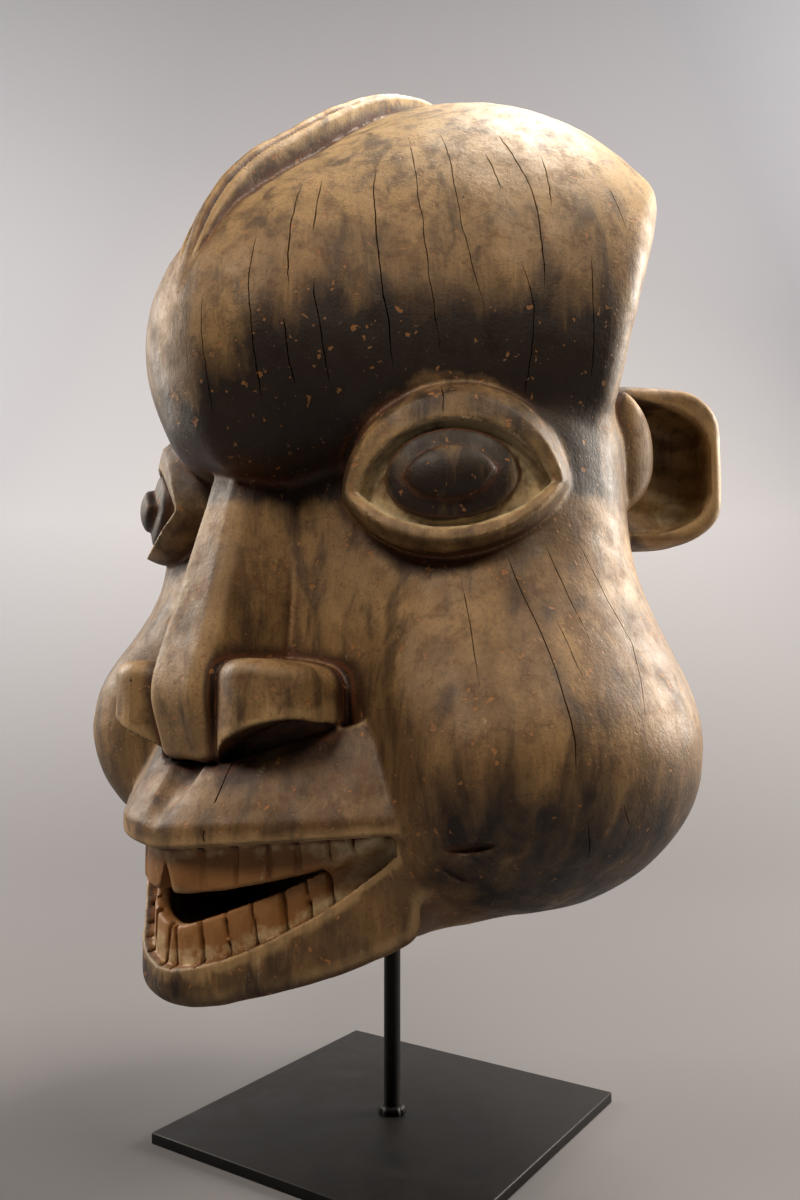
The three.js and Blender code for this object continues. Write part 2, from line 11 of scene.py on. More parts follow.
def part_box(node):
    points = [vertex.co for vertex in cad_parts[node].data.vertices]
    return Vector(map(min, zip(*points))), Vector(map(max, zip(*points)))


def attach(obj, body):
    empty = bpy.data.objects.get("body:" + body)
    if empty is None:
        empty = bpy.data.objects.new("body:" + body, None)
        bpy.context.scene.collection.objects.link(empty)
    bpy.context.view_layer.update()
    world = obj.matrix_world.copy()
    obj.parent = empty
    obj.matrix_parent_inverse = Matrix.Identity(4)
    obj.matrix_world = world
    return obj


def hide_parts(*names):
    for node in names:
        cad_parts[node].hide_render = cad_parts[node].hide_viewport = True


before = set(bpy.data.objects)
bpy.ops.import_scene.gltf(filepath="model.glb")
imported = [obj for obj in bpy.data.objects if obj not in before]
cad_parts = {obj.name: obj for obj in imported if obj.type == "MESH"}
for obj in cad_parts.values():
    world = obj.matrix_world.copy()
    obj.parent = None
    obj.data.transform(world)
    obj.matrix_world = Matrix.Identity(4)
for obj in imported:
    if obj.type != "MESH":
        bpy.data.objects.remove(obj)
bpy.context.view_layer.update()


# The foot plate: a square of 5 mm mild steel sheet, sheared, its edges filed by hand.
# It is painted satin black.

PLATE_SIDE = 0.160
PLATE_TURN = math.radians(7.9)
ARRIS = 0.0007

plate_low, plate_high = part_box("stand_plate")
plate_thickness = plate_high.z - plate_low.z


def paint(code):
    """An sRGB hex colour as linear red, green, blue and alpha."""
    parts = [int(code[i:i + 2], 16) / 255 for i in (1, 3, 5)]
    linear = [c / 12.92 if c <= 0.04045 else ((c + 0.055) / 1.055) ** 2.4 for c in parts]
    return (*linear, 1.0)


def new_material(name):
    """An empty material and its node tree."""
    material = bpy.data.materials.new(name)
    material.use_nodes = True
    material.node_tree.nodes.clear()
    return material, material.node_tree


def add(tree, kind, sockets=None, **settings):
    """One node, with its settings, each socket given a value or another node's output."""
    node = tree.nodes.new("ShaderNode" + kind)
    for name, value in settings.items():
        setattr(node, name, value)
    for name, value in (sockets or {}).items():
        if isinstance(value, bpy.types.NodeSocket):
            tree.links.new(value, node.inputs[name])
        else:
            node.inputs[name].default_value = value
    return node


def noise(tree, place, scale, detail, roughness=0.5, distortion=0.0):
    """Cloudy noise: how many clouds to the metre, and how fine and strong the layers on them."""
    return add(tree, "TexNoise", {
        "Vector": place, "Scale": scale, "Detail": detail, "Roughness": roughness,
        "Distortion": distortion}).outputs[0]


def spread(tree, value, low, high, last, first=0.0):
    """A value stretched so that low becomes first and high becomes last."""
    return add(tree, "MapRange", {0: value, 1: low, 2: high, 3: first, 4: last}).outputs[0]


def blend(tree, factor, under, code):
    """A paint laid over a colour."""
    return add(tree, "Mix", {0: factor, 6: under, 7: paint(code)}, data_type="RGBA").outputs[2]


def surface(tree, sockets):
    """The principled shader with the sockets given, as the material's surface."""
    shader = add(tree, "BsdfPrincipled", sockets)
    add(tree, "OutputMaterial", {"Surface": shader.outputs[0]})


def satin_black_paint():
    """Satin black enamel on steel: near black, with a soft sheen, dust and fine rub marks."""
    material, tree = new_material("satin_black_enamel")
    place = add(tree, "TexCoord").outputs["Object"]
    dust = noise(tree, place, 55.0, 6.0, 0.65)
    tint = blend(tree, spread(tree, dust, 0.45, 0.8, 1.0), paint("#070606"), "#161412")
    gloss = spread(tree, dust, 0.3, 0.75, 0.6, first=0.42)
    # Orange peel of sprayed enamel, about 1 mm from crest to crest
    peel = noise(tree, place, 900.0, 2.0)
    bump = add(tree, "Bump", {"Strength": 0.12, "Distance": 0.0002, "Height": peel})
    surface(tree, {
        "Base Color": tint, "Roughness": gloss, "IOR": 1.5, "Specular IOR Level": 0.25,
        "Normal": bump.outputs[0]})
    return material


black_enamel = satin_black_paint()


def mesh_of(shape, name):
    """The shape as a mesh; the shape itself is done with."""
    mesh = bpy.data.meshes.new(name)
    shape.to_mesh(mesh)
    shape.free()
    return mesh


def put_in_scene(data):
    """A new object at the origin, named after what it holds."""
    thing = bpy.data.objects.new(data.name, data)
    bpy.context.scene.collection.objects.link(thing)
    return thing


def shade_smooth(mesh, degrees):
    """Smooth shading but for edges sharper than the given angle."""
    mesh.shade_smooth()
    mesh.set_sharp_from_angle(angle=math.radians(degrees))


def object_from(mesh, material, degrees=35):
    """A mesh as an object, in its material and shaded smooth."""
    piece = put_in_scene(mesh)
    mesh.materials.append(material)
    shade_smooth(mesh, degrees)
    return piece


def foot_plate():
    """A square sheet with filed arrises."""
    shape = bmesh.new()
    bmesh.ops.create_cube(shape, size=1.0)
    size = Matrix.Diagonal((PLATE_SIDE, PLATE_SIDE, plate_thickness, 1))
    rise = Matrix.Translation((0, 0, (plate_low.z + plate_high.z) / 2))
    bmesh.ops.transform(shape, matrix=rise @ Matrix.Rotation(PLATE_TURN, 4, "Z") @ size, verts=shape.verts)
    bmesh.ops.bevel(shape, geom=shape.edges[:], offset=ARRIS, segments=3, profile=0.5, affect="EDGES")
    return object_from(mesh_of(shape, "foot_plate"), black_enamel)


plate = foot_plate()
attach(plate, "root")
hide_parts("stand_plate")


# The rod: 8 mm round bar, cut off square and welded upright to the middle of the plate.
# The bead of weld shows as a small uneven ring, painted over with the rest.

ROD_RADIUS = 0.004
BEAD_RADIUS = 0.0064
BEAD_HEIGHT = 0.0032
BEAD_RIPPLE = 0.0003
ROD_SIDES = 64

rod_low, rod_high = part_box("stand_rod")


def rod_with_weld():
    """The bar and its bead turned as one profile, from the plate up to the mask's ceiling."""
    profile = [(0.0, rod_low.z)]
    for i in range(9):
        angle = math.pi / 2 * i / 8
        bulge = ROD_RADIUS + (BEAD_RADIUS - ROD_RADIUS) * math.cos(angle) ** 0.8
        profile.append((bulge, rod_low.z + BEAD_HEIGHT * math.sin(angle)))
    chamfer = 0.0005
    profile += [(ROD_RADIUS, rod_high.z - chamfer), (ROD_RADIUS - chamfer, rod_high.z), (0.0, rod_high.z)]
    shape = bmesh.new()
    rings = []
    for radius, height in profile:
        if radius == 0:
            rings.append([shape.verts.new((0, 0, height))])
            continue
        in_bead = max(0.0, (radius - ROD_RADIUS) / (BEAD_RADIUS - ROD_RADIUS))
        ring = []
        for side in range(ROD_SIDES):
            angle = 2 * math.pi * side / ROD_SIDES
            wide = radius + BEAD_RIPPLE * in_bead * math.sin(9 * angle + 2 * math.sin(3 * angle))
            ring.append(shape.verts.new((wide * math.cos(angle), wide * math.sin(angle), height)))
        rings.append(ring)
    for lower, upper in zip(rings, rings[1:]):
        for side in range(ROD_SIDES):
            after = (side + 1) % ROD_SIDES
            if len(lower) == 1:
                shape.faces.new((lower[0], upper[after], upper[side]))
            elif len(upper) == 1:
                shape.faces.new((lower[side], lower[after], upper[0]))
            else:
                shape.faces.new((lower[side], lower[after], upper[after], upper[side]))
    return object_from(mesh_of(shape, "rod_with_weld"), black_enamel)


rod = rod_with_weld()
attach(rod, "root")
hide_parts("stand_rod")


# The mask: one log of close-grained wood, carved in the round with adze and knife, hollow
# for the wearer's head. Each form below is a distance in millimetres, negative in the wood.

def fillet(a, b, k):
    """Two forms grown together, the corner between them filled over a width of k."""
    share = np.clip(0.5 + 0.5 * (b - a) / k, 0, 1)
    return b + (a - b) * share - k * share * (1 - share)


def pare(a, b, k):
    """What of a lies in b too, with the edge rounded over a width of k."""
    return -fillet(-a, -b, k)


def ramp(value, low, high):
    """0 below low, 1 above high, and a smooth rise between."""
    share = np.clip((value - low) / (high - low), 0, 1)
    return share * share * (3 - 2 * share)


def egg(x, y, z, radii):
    """Distance to an egg at the origin, near enough."""
    reach = np.sqrt((x / radii[0]) ** 2 + (y / radii[1]) ** 2 + (z / radii[2]) ** 2) + 1e-6
    slope = np.sqrt((x / radii[0] ** 2) ** 2 + (y / radii[1] ** 2) ** 2 + (z / radii[2] ** 2) ** 2) + 1e-9
    return reach * (reach - 1) / slope


def facing(x, y, centre, angle):
    """How far along a face turned by angle, and how far out of it."""
    across, back = x - centre[0], y - centre[1]
    along = across * math.cos(angle) + back * math.sin(angle)
    return along, across * math.sin(angle) - back * math.cos(angle)


LUMPS = np.random.RandomState(11).rand(32, 32, 32).astype(np.float32)


def uneven(x, y, z, size):
    """Random unevenness from -1 to 1, in smooth lumps of the given size."""
    cells, parts = [], []
    for value in (x, y, z):
        scaled = value / size + 500.0
        cell = np.floor(scaled)
        part = scaled - cell
        cells.append(cell.astype(np.int32) & 31)
        parts.append(part * part * (3 - 2 * part))
    total = 0
    for corner in range(8):
        i, j, k = corner & 1, corner >> 1 & 1, corner >> 2
        weight = parts[0] if i else 1 - parts[0]
        weight = weight * (parts[1] if j else 1 - parts[1])
        weight = weight * (parts[2] if k else 1 - parts[2])
        total = total + weight * LUMPS[(cells[0] + i) & 31, (cells[1] + j) & 31, (cells[2] + k) & 31]
    return 2 * total - 1


# Skull: a crown, two heavy brow lobes with a soft keel between them, and flat leaning temples
CROWN_Y, CROWN_Z, CROWN_RADII = 35.5, 396.4, (124.6, 98, 114.5)
LOBE_PLACE, LOBE_Z, LOBE_RADII = (52, -11), 361, (132, 65, 80)
LOBE_TURN = math.radians(51.6)
LOBES_FILLET, KEEL_FILLET, CROWN_FILLET = 44, 26, 60
KEEL_Y, KEEL_Z, KEEL_RADIUS, KEEL_LEAN = -92, 340, 22, 0.22
KEEL_TOP, KEEL_END, KEEL_ROUND = 360, 372, 20
TEMPLE_TURN, TEMPLE_LEAN, TEMPLE_Z, TEMPLE_OUT = 0.616, 0.246, 330, 100
TEMPLE_FLAT_TO, TEMPLE_CURVE, TEMPLE_ROUND = -42, 520, 9
BROW_Z, BROW_ARCH, ARCH_WIDTH, NAPE_DROP = 289, 20, 40, 60
ROOT_RISE, ROOT_X, ROOT_WIDTH = 11, -8, 22
BROW_ROUND, BROW_SHARPENS = 27, 15
EYE_X, EYE_Y, EYE_TURN, EYE_TILT = 86.0, -58.5, math.radians(35), 0.04
LEFT_EYE_Z, RIGHT_EYE_Z = 289.6, 295.0


def eye_place(x, y, z):
    """Seen from the eye: outward along the face, up, and out of the face."""
    outward, out = facing(np.abs(x), y, (EYE_X, EYE_Y), EYE_TURN)
    up = z - np.where(x < 0, RIGHT_EYE_Z, LEFT_EYE_Z)
    c, s = math.cos(EYE_TILT), math.sin(EYE_TILT)
    return outward * c + up * s, up * c - outward * s, out


def skull(x, y, z):
    side = np.abs(x)
    lobes = []
    for way in (1, -1):
        along, out = facing(x * way, y, LOBE_PLACE, LOBE_TURN)
        lobes.append(egg(along, out, z - LOBE_Z, LOBE_RADII))
    head = fillet(lobes[0], lobes[1], LOBES_FILLET)
    keel = np.sqrt(x * x + (y - KEEL_Y + KEEL_LEAN * (KEEL_Z - z)) ** 2) - KEEL_RADIUS
    keel = pare(np.maximum(keel, z - KEEL_END), z - KEEL_TOP, KEEL_ROUND)
    head = fillet(head, keel, KEEL_FILLET)
    head = fillet(head, egg(x, y - CROWN_Y, z - CROWN_Z, CROWN_RADII), CROWN_FILLET)
    across = -side * math.sin(TEMPLE_TURN) + y * math.cos(TEMPLE_TURN)
    out = side * math.cos(TEMPLE_TURN) + y * math.sin(TEMPLE_TURN)
    temple = out * math.cos(TEMPLE_LEAN) - (z - TEMPLE_Z) * math.sin(TEMPLE_LEAN) - TEMPLE_OUT
    bent = np.maximum(across - TEMPLE_FLAT_TO, 0) ** 2 / TEMPLE_CURVE
    head = pare(head, temple + bent, TEMPLE_ROUND)
    outward, _, _ = eye_place(x, y, z)
    arch = BROW_ARCH * np.exp(-((outward + 2) / ARCH_WIDTH) ** 2) * ramp(-y, -20, 40)
    root = ROOT_RISE * np.exp(-((x - ROOT_X) / ROOT_WIDTH) ** 2) * ramp(-y, 0, 60)
    brow = BROW_Z + arch + root - NAPE_DROP * ramp(y, 10, 80)
    return pare(head, brow - z, BROW_ROUND - BROW_SHARPENS * ramp(outward, 5, 45))


# Face: the neck barrel, the mass behind the nose and the swollen cheeks
NECK_Y, NECK_HALF, NECK_DEEP = 12, 97, 90
NECK_WAIST, NECK_SWELL = 0.80, 0.20
NECK_LOW_Z, NECK_TOP_Z = 119, 350
MASS_Y, MASS_RADIUS, MASS_LOW_Z, MASS_TOP_Z = -30, 57, 175, 320


def barrel(x, y, z):
    full = NECK_WAIST + NECK_SWELL * ramp(z, 118, 215)
    round_ = np.sqrt((x / (NECK_HALF * full)) ** 2 + ((y - NECK_Y) / (NECK_DEEP * full)) ** 2) + 1e-6
    neck = np.sqrt(x * x + (y - NECK_Y) ** 2) * (1 - 1 / round_)
    neck = pare(pare(neck, NECK_LOW_Z - z, 6), z - NECK_TOP_Z, 40)
    mass = np.sqrt(x * x + (y - MASS_Y) ** 2) - MASS_RADIUS
    mass = pare(pare(mass, MASS_LOW_Z - z, 10), z - MASS_TOP_Z, 10)
    return fillet(neck, mass, 20)


CHEEK_X, CHEEK_Y, CHEEK_LEAN, CHEEK_TOP_Z = 75, -20, 0.12, 345
LEFT_CHEEK_Z, LEFT_RADIUS, LEFT_DROP, LEFT_WAIST, LEFT_SWELL = 185, 88, 69, 50, 38
RIGHT_CHEEK_Z, RIGHT_RADIUS, RIGHT_DROP, RIGHT_WAIST, RIGHT_SWELL = 190, 86.2, 67, 58, 28.2
FLAT_X, FLAT_Y, FLAT_ROUND = 88, -93, 16


def cheeks(x, y, z):
    """The left cheek hangs a little lower and fuller than the right one; each is pared in front."""
    right = x < 0
    rise = z - np.where(right, RIGHT_CHEEK_Z, LEFT_CHEEK_Z)
    radius = np.where(right, RIGHT_RADIUS, LEFT_RADIUS)
    drop = np.where(right, RIGHT_DROP, LEFT_DROP)
    left_waist = LEFT_WAIST + LEFT_SWELL * np.exp(-(rise / 60) ** 2)
    right_waist = RIGHT_WAIST + RIGHT_SWELL * np.exp(-(np.maximum(rise, 0) / 48) ** 2.6)
    back = y - CHEEK_Y - CHEEK_LEAN * np.maximum(rise, 0)
    reach = np.sqrt((np.abs(x) - CHEEK_X) ** 2 + back ** 2)
    upper = (reach - np.where(right, right_waist, left_waist)) * (1 - 0.1 * ramp(rise, 0, 40))
    ratio = np.sqrt((reach / radius) ** 2 + (rise / drop) ** 2) + 1e-6
    lower = np.sqrt(reach * reach + rise * rise) * (1 - 1 / ratio)
    form = pare(np.where(rise > 0, upper, lower), z - CHEEK_TOP_Z, 40)
    return pare(form, -0.366 * (np.abs(x) - FLAT_X) - 0.93 * (y - FLAT_Y), FLAT_ROUND)


# Muzzle: lips and teeth follow one wedge in plan, blunt in front and straight at the sides.
# Each wedge has half its width, how far it comes forward of the mouth's corners, half its front.
CORNERS_Y = -80
UPPER_ROW, LOWER_ROW = (84.5, 53.8, 20.5), (73.5, 50, 13.5)
JAW = (86, 54.5, 15)
LIP_HALF, LIP_REACH, LIP_FRONT = 99, 60, 23


def wedge(x, y, half, reach, front, corner=11):
    forward = np.maximum(CORNERS_Y - y, 0)
    across = np.sqrt(x * x + 20)
    side = ((across - half) * reach + forward * (half - front)) / np.hypot(reach, half - front)
    return pare(side, forward - reach, corner)


def upper_row(x, y):
    return wedge(x, y, *UPPER_ROW, 7)


def lower_row(x, y):
    return wedge(x, y, *LOWER_ROW, 8)


# Heights in the middle of the mouth, and how much higher at a place to the side
LIP_BOTTOM_Z, LIP_BOTTOM_RISE = 147.2, 8
LIP_BAND_Z, LIP_BAND_RISE = 157, 5.5
LIP_END = 82
UPPER_EDGE_Z, UPPER_EDGE_RISE, UPPER_EDGE_END = 130.2, 20, 76
LOWER_EDGE_Z, LOWER_EDGE_RISE, LOWER_EDGE_END = 117, 33.5, 69
GUM_Z, GUM_RISE, GUM_END = 102, 44.7, 77


def lip_bottom(across):
    return LIP_BOTTOM_Z + LIP_BOTTOM_RISE * across / LIP_END


def lip_band_top(across):
    return LIP_BAND_Z + LIP_BAND_RISE * across / LIP_END


def upper_teeth_edge(across):
    return UPPER_EDGE_Z + UPPER_EDGE_RISE * (across / UPPER_EDGE_END) ** 1.7


def lower_teeth_edge(across):
    return LOWER_EDGE_Z + LOWER_EDGE_RISE * (across / LOWER_EDGE_END) ** 1.4


def gum_line(across):
    return GUM_Z + GUM_RISE * (across / GUM_END) ** 1.75


CHIN_Z, CHIN_RISE, CHIN_END = 86.5, 6, 80
CHIN_Y, CHIN_LONG, CHIN_LIFT, CHIN_CURVE = -128, 52, 0.21, 0.004
JAW_TOP_Z, JAW_BACK_Y = 158, -30


def jaw(x, y, z):
    across = np.minimum(np.abs(x), 88)
    back = np.clip(y - CHIN_Y, 0, CHIN_LONG)
    under = CHIN_Z + CHIN_RISE * (across / CHIN_END) ** 2 + CHIN_LIFT * back + CHIN_CURVE * back ** 2
    form = pare(wedge(x, y, *JAW), (under - z) * 0.9, 9)
    return pare(pare(form, z - JAW_TOP_Z, 4), y - JAW_BACK_Y, 10)


LIP_NARROWS, LIP_DRAWS_IN = 0.85, 0.75
LIP_TOP_Z, LIP_TOP_RISE, LIP_TOP_LEVEL, LIP_BACK_Y = 179.5, 0.41, 17, -50
GROOVE_RADIUS, GROOVE_DEEP, GROOVE_Z, GROOVE_LONG, GROOVE_BACK_Y = 11, 5.5, 158, 20, -112


def upper_lip(x, y, z):
    """A slab with an upright band in front; its top slopes back to the nose, with a gouged groove."""
    across = np.minimum(np.abs(x), 90)
    over = pare(z - lip_band_top(across), np.zeros_like(z), 1.6)
    form = wedge(x, y, LIP_HALF - LIP_NARROWS * over, LIP_REACH - LIP_DRAWS_IN * over, LIP_FRONT) * 0.88
    form = pare(form, lip_bottom(across) - z, 3)
    form = pare(form, z - LIP_TOP_Z - LIP_TOP_RISE * np.maximum(across - LIP_TOP_LEVEL, 0), 1.5)
    form = pare(form, y - LIP_BACK_Y, 8)
    proud = (CORNERS_Y - LIP_REACH - y + LIP_DRAWS_IN * (z - LIP_BAND_Z)) * 0.8
    deep = GROOVE_DEEP * np.clip((z - GROOVE_Z) / GROOVE_LONG, 0, 1) ** 0.7
    gouge = np.sqrt(x * x + (proud - GROOVE_RADIUS + deep) ** 2) - GROOVE_RADIUS
    return pare(form, -np.maximum(gouge, y - GROOVE_BACK_Y), 1.6)


UPPER_CUTS = (18.5, 29.7, 39.6, 48.5, 58.1, 65.2)
LOWER_CUTS = (0, 12.5, 21.4, 29.8, 39.3, 47.1, 54.2)
GUM_SLOPE, GUM_DEEP = 0.25, 8
OPENING_HALF, OPENING_BACK_Y = 81, -82
GAP_HALF, GAP_BACK_Y = 56, -78
ROOM_ABOVE, ROOM_BELOW, ROOM_BEHIND, ROOM_BACK_Y = 6, 7, 7, -74
NOTCH_HALF, NOTCH_HIGH, NOTCH_DEEP = 4.6, 12.5, 7
SAW_HALF, SAW_VARIES, SAW_LEAN, SAW_PIVOT_Z, SAW_DEEP = 0.8, 0.3, 0.12, 130, 3


def mouth_cut(form, x, y, z):
    """Opens the lips round the teeth, parts the rows and saws them into teeth."""
    side = np.abs(x)
    across = np.minimum(side, 80)
    upper, lower = upper_row(x, y), lower_row(x, y)
    upper_edge, lower_edge = upper_teeth_edge(across), lower_teeth_edge(across)
    meeting = 0.5 * (upper_edge + lower_edge)
    teeth = lower + (upper - lower) * ramp(z - meeting, -3, 3)
    gum = gum_line(across) - GUM_SLOPE * np.clip(lower, 0, GUM_DEEP)
    opening = np.maximum(z - lip_bottom(across) - 0.5, gum - z)
    opening = np.maximum(opening, -teeth)
    opening = np.maximum(opening, np.maximum(side - OPENING_HALF, y - OPENING_BACK_Y))
    form = pare(form, -opening, 1.2)
    gap = np.maximum(z - upper_edge, lower_edge - z)
    gap = pare(pare(gap, y - GAP_BACK_Y, 6), side - GAP_HALF, 5)
    form = pare(form, -gap, 1.8)
    room = np.maximum(z - upper_edge - ROOM_ABOVE, lower_edge - ROOM_BELOW - z)
    room = np.maximum(np.maximum(room, lower + ROOM_BEHIND), y - ROOM_BACK_Y)
    form = pare(form, -room, 3)
    above = z - upper_edge
    notch = np.maximum(side - NOTCH_HALF * (1 - above / NOTCH_HIGH), above - NOTCH_HIGH)
    notch = np.maximum(notch, np.maximum(-3 - above, -upper - NOTCH_DEEP))
    form = pare(form, -notch, 0.6)
    for places, high in ((UPPER_CUTS, True), (LOWER_CUTS, False)):
        row = upper if high else lower
        for number, place in enumerate(places):
            half = SAW_HALF + SAW_VARIES * math.sin(2.1 * number + 1.7 * high)
            saw = np.abs(side - place + SAW_LEAN * (z - SAW_PIVOT_Z) * (0 if high else 1)) - half
            end = upper_edge - SAW_DEEP - z if high else z - lower_edge - SAW_DEEP
            stop = z - lip_bottom(across) - 1 if high else gum_line(across) - 2 - z
            saw = np.maximum(np.maximum(saw, end), np.maximum(stop, -row - SAW_DEEP))
            form = pare(form, -np.maximum(saw, row - SAW_DEEP), 0.5)
    return form


# Nose: a long blunt wedge, a pair of block-like wings, and a dark lens cut under each for nostril
NOSE_TIP_Y, NOSE_TIP_Z, NOSE_RISE, NOSE_TUCK = -134.5, 209, 0.315, 0.3
NOSE_HALF, NOSE_SLIMS, NOSE_BASE, NOSE_SPREADS = 17, 5, 20, 1.5
NOSE_FLANK, NOSE_LOW_Z, NOSE_TOP_Z, NOSE_BACK_Y = 34, 180, 315, -60
WING_PLACE, WING_TURN, WING_RADII = (31.4, -100.3), math.radians(24), (24.7, 31)
WING_TOP_Z, WING_LOW_Z, WING_LOW_SLOPE = 221.5, 187, 0.32
NOSTRIL_PLACE, NOSTRIL_Z, NOSTRIL_SLOPE = (32.5, -100.3), 188, 0.28
NOSTRIL_HALF, NOSTRIL_HIGH = 22, 8.5


def nose(x, y, z):
    over = pare(z - NOSE_TIP_Z, np.zeros_like(z), 10)
    under = pare(NOSE_TIP_Z - z, np.zeros_like(z), 10)
    front = NOSE_TIP_Y + NOSE_RISE * over + NOSE_TUCK * under
    half = NOSE_HALF - NOSE_SLIMS * ramp(z, 215, 300)
    base = NOSE_BASE + NOSE_SPREADS * ramp(z, 215, 290)
    depth = y - front
    wall = half + (base - half) * np.clip(depth / NOSE_FLANK, 0, 1)
    form = pare(-depth * 0.95, (np.abs(x) - wall) * 0.95, 7)
    form = pare(pare(form, NOSE_LOW_Z - z + 0.10 * depth, 5), z - NOSE_TOP_Z, 8)
    return pare(form, y - NOSE_BACK_Y, 4)


def wing(x, y, z):
    along, out = facing(np.abs(x), y, WING_PLACE, WING_TURN)
    round_ = np.sqrt((along / WING_RADII[0]) ** 2 + (out / WING_RADII[1]) ** 2) + 1e-6
    form = np.sqrt(along * along + out * out) * (1 - 1 / round_)
    top = WING_TOP_Z - 0.006 * along * along - 0.05 * along
    return pare(pare(form, z - top, 8), WING_LOW_Z + WING_LOW_SLOPE * along - z, 2.5)


def nostril(x, y, z):
    along, out = facing(np.abs(x), y, NOSTRIL_PLACE, WING_TURN)
    raised = z - NOSTRIL_Z - NOSTRIL_SLOPE * along
    lens = (np.sqrt((along / NOSTRIL_HALF) ** 2 + (raised / NOSTRIL_HIGH) ** 2) - 1) * 8
    return np.maximum(lens, 1 - out)


# Eyes: a ball under two thick lids, the iris a raised disc and the pupil a boss on it
def almond(across, up, half, top, bottom):
    """An outline of two arcs that meet in the eye's corners."""
    top_arc = (half * half + top * top) / (2 * top)
    bottom_arc = (half * half + bottom * bottom) / (2 * bottom)
    upper = np.sqrt(across * across + (up - (top - top_arc)) ** 2) - top_arc
    lower = np.sqrt(across * across + (up + (bottom - bottom_arc)) ** 2) - bottom_arc
    return np.maximum(upper, lower)


BALL_RADIUS, BALL_DEEP = 55, 35
RIM, RIGHT_RIM_BOTTOM, SLIT, SLIT_SHIFT = (47, 46.5, 27.5), 23.5, (38.5, 25, 17.6), 0.5
LID_THICK, LID_RIDGE, LID_DEEP = 3.6, 3.2, 18
IRIS_HALF, IRIS_HIGH, IRIS_UP, IRIS_PROUD = 26.3, 18.3, 3.8, 1.5
PUPIL, PUPIL_UP, BOSS_RADII, BOSS_OUT = (18, 10.5, 10.5), 3.6, (19, 11.5, 6.5), 20


def slit_edge(across, up):
    """Outline of the opening between the lids."""
    return almond(across - SLIT_SHIFT, up, *SLIT)


def iris_edge(across, up):
    """Outline of the iris, an oval."""
    return (np.sqrt((across / IRIS_HALF) ** 2 + ((up - IRIS_UP) / IRIS_HIGH) ** 2) - 1) * IRIS_HIGH


def with_eyes(form, x, y, z):
    across, up, out = eye_place(x, y, z)
    ball = np.sqrt(across ** 2 + up ** 2 + (out + BALL_DEEP) ** 2) - BALL_RADIUS
    rim = almond(across, up, RIM[0], RIM[1], np.where(x < 0, RIGHT_RIM_BOTTOM, RIM[2]))
    slit = slit_edge(across, up)
    between = np.clip(slit / np.maximum(slit - rim, 1.0), 0, 1)
    ridge = 1 - np.abs(between - 0.5) * 2
    lid = pare(pare(ball - LID_THICK - LID_RIDGE * ridge, rim, 6), -LID_DEEP - out, 3)
    form = fillet(form, lid, 2.0)
    hollowed = np.maximum(pare(slit, -(ball + 2.5), 1.5), -out - 8)
    form = pare(form, -hollowed, 1.2)
    form = fillet(form, pare(ball - IRIS_PROUD, iris_edge(across, up), 2.2), 0.8)
    pupil = almond(across + 0.5, up - PUPIL_UP, *PUPIL)
    wide, high, deep = BOSS_RADII
    boss = np.sqrt((across / wide) ** 2 + ((up - PUPIL_UP) / high) ** 2 + ((out - BOSS_OUT) / deep) ** 2)
    return fillet(form, pare((boss - 1) * deep, pupil, 1.0), 0.6)


# Ears: square cups open to the front, each with a leaf-shaped boss before it
EAR_PLACE, EAR_TURN, EAR_Z = (121, 38), math.radians(50), 310.5
CUP_HALF, CUP_OUTLINE, INSIDE_HALF, INSIDE_OUTLINE = (43, 24, 38), (43, 39), (40, 20, 32), (38, 30)
SQUARENESS = 2.5
TRAGUS_PLACE, TRAGUS_Z, TRAGUS_HIGH, TRAGUS_WIDE = (113, 26), 314.5, 27.0, 17.0


def soft_box(along, out, up, half, corner):
    """Distance to a box with rounded corners."""
    over = [np.abs(v) - (h - corner) for v, h in zip((along, out, up), half)]
    outside = np.sqrt(sum(np.maximum(v, 0) ** 2 for v in over))
    return outside + np.minimum(np.maximum(np.maximum(over[0], over[1]), over[2]), 0) - corner


def outline(along, up, half):
    """Outline of a square with full round corners, negative inside."""
    total = np.abs(along / half[0]) ** SQUARENESS + np.abs(up / half[1]) ** SQUARENESS + 1e-6
    return total ** (1 / SQUARENESS) - 1


def ear(x, y, z):
    along, out = facing(np.abs(x), y, EAR_PLACE, EAR_TURN)
    up = z - EAR_Z
    cup = pare(soft_box(along + 5, out + 14, up, CUP_HALF, 20), out - 3, 2.5)
    cup = pare(cup, outline(along + 3, up, CUP_OUTLINE) * 38, 4)
    inside = soft_box(along + 8, out + 4, up + 2, INSIDE_HALF, 17)
    inside = pare(inside, outline(along + 7, up + 2, INSIDE_OUTLINE) * 30, 4)
    # Gouge marks lie across the inside, 13 mm from one to the next
    inside = inside + 0.7 * np.sin(up / 2.1 + 0.12 * along) * ramp(-out, -4, 12)
    return pare(cup, -inside, 1.8)


def tragus(x, y, z):
    along, out = facing(np.abs(x), y, TRAGUS_PLACE, EAR_TURN)
    arc = (TRAGUS_HIGH ** 2 + TRAGUS_WIDE ** 2) / (2 * TRAGUS_WIDE)
    leaf = np.sqrt((z - TRAGUS_Z) ** 2 + (np.abs(along) + arc - TRAGUS_WIDE) ** 2) - arc
    return pare(leaf, np.abs(out) - 12 + 0.03 * along * along, 6)


# Crest: a band with two grooves, from a point on the forehead over the crown to the nape
CREST_HALF, CREST_EDGE, CREST_SWELL = 8.0, 8, 4.5
CREST_START_Z, CREST_END_Z = 374, 300
CREST_RISES, CREST_FADES = (371, 455), (20, 118)
FLUTE_X, FLUTE_HALF, FLUTE_DEEP = 3.5, 1.9, 3.2


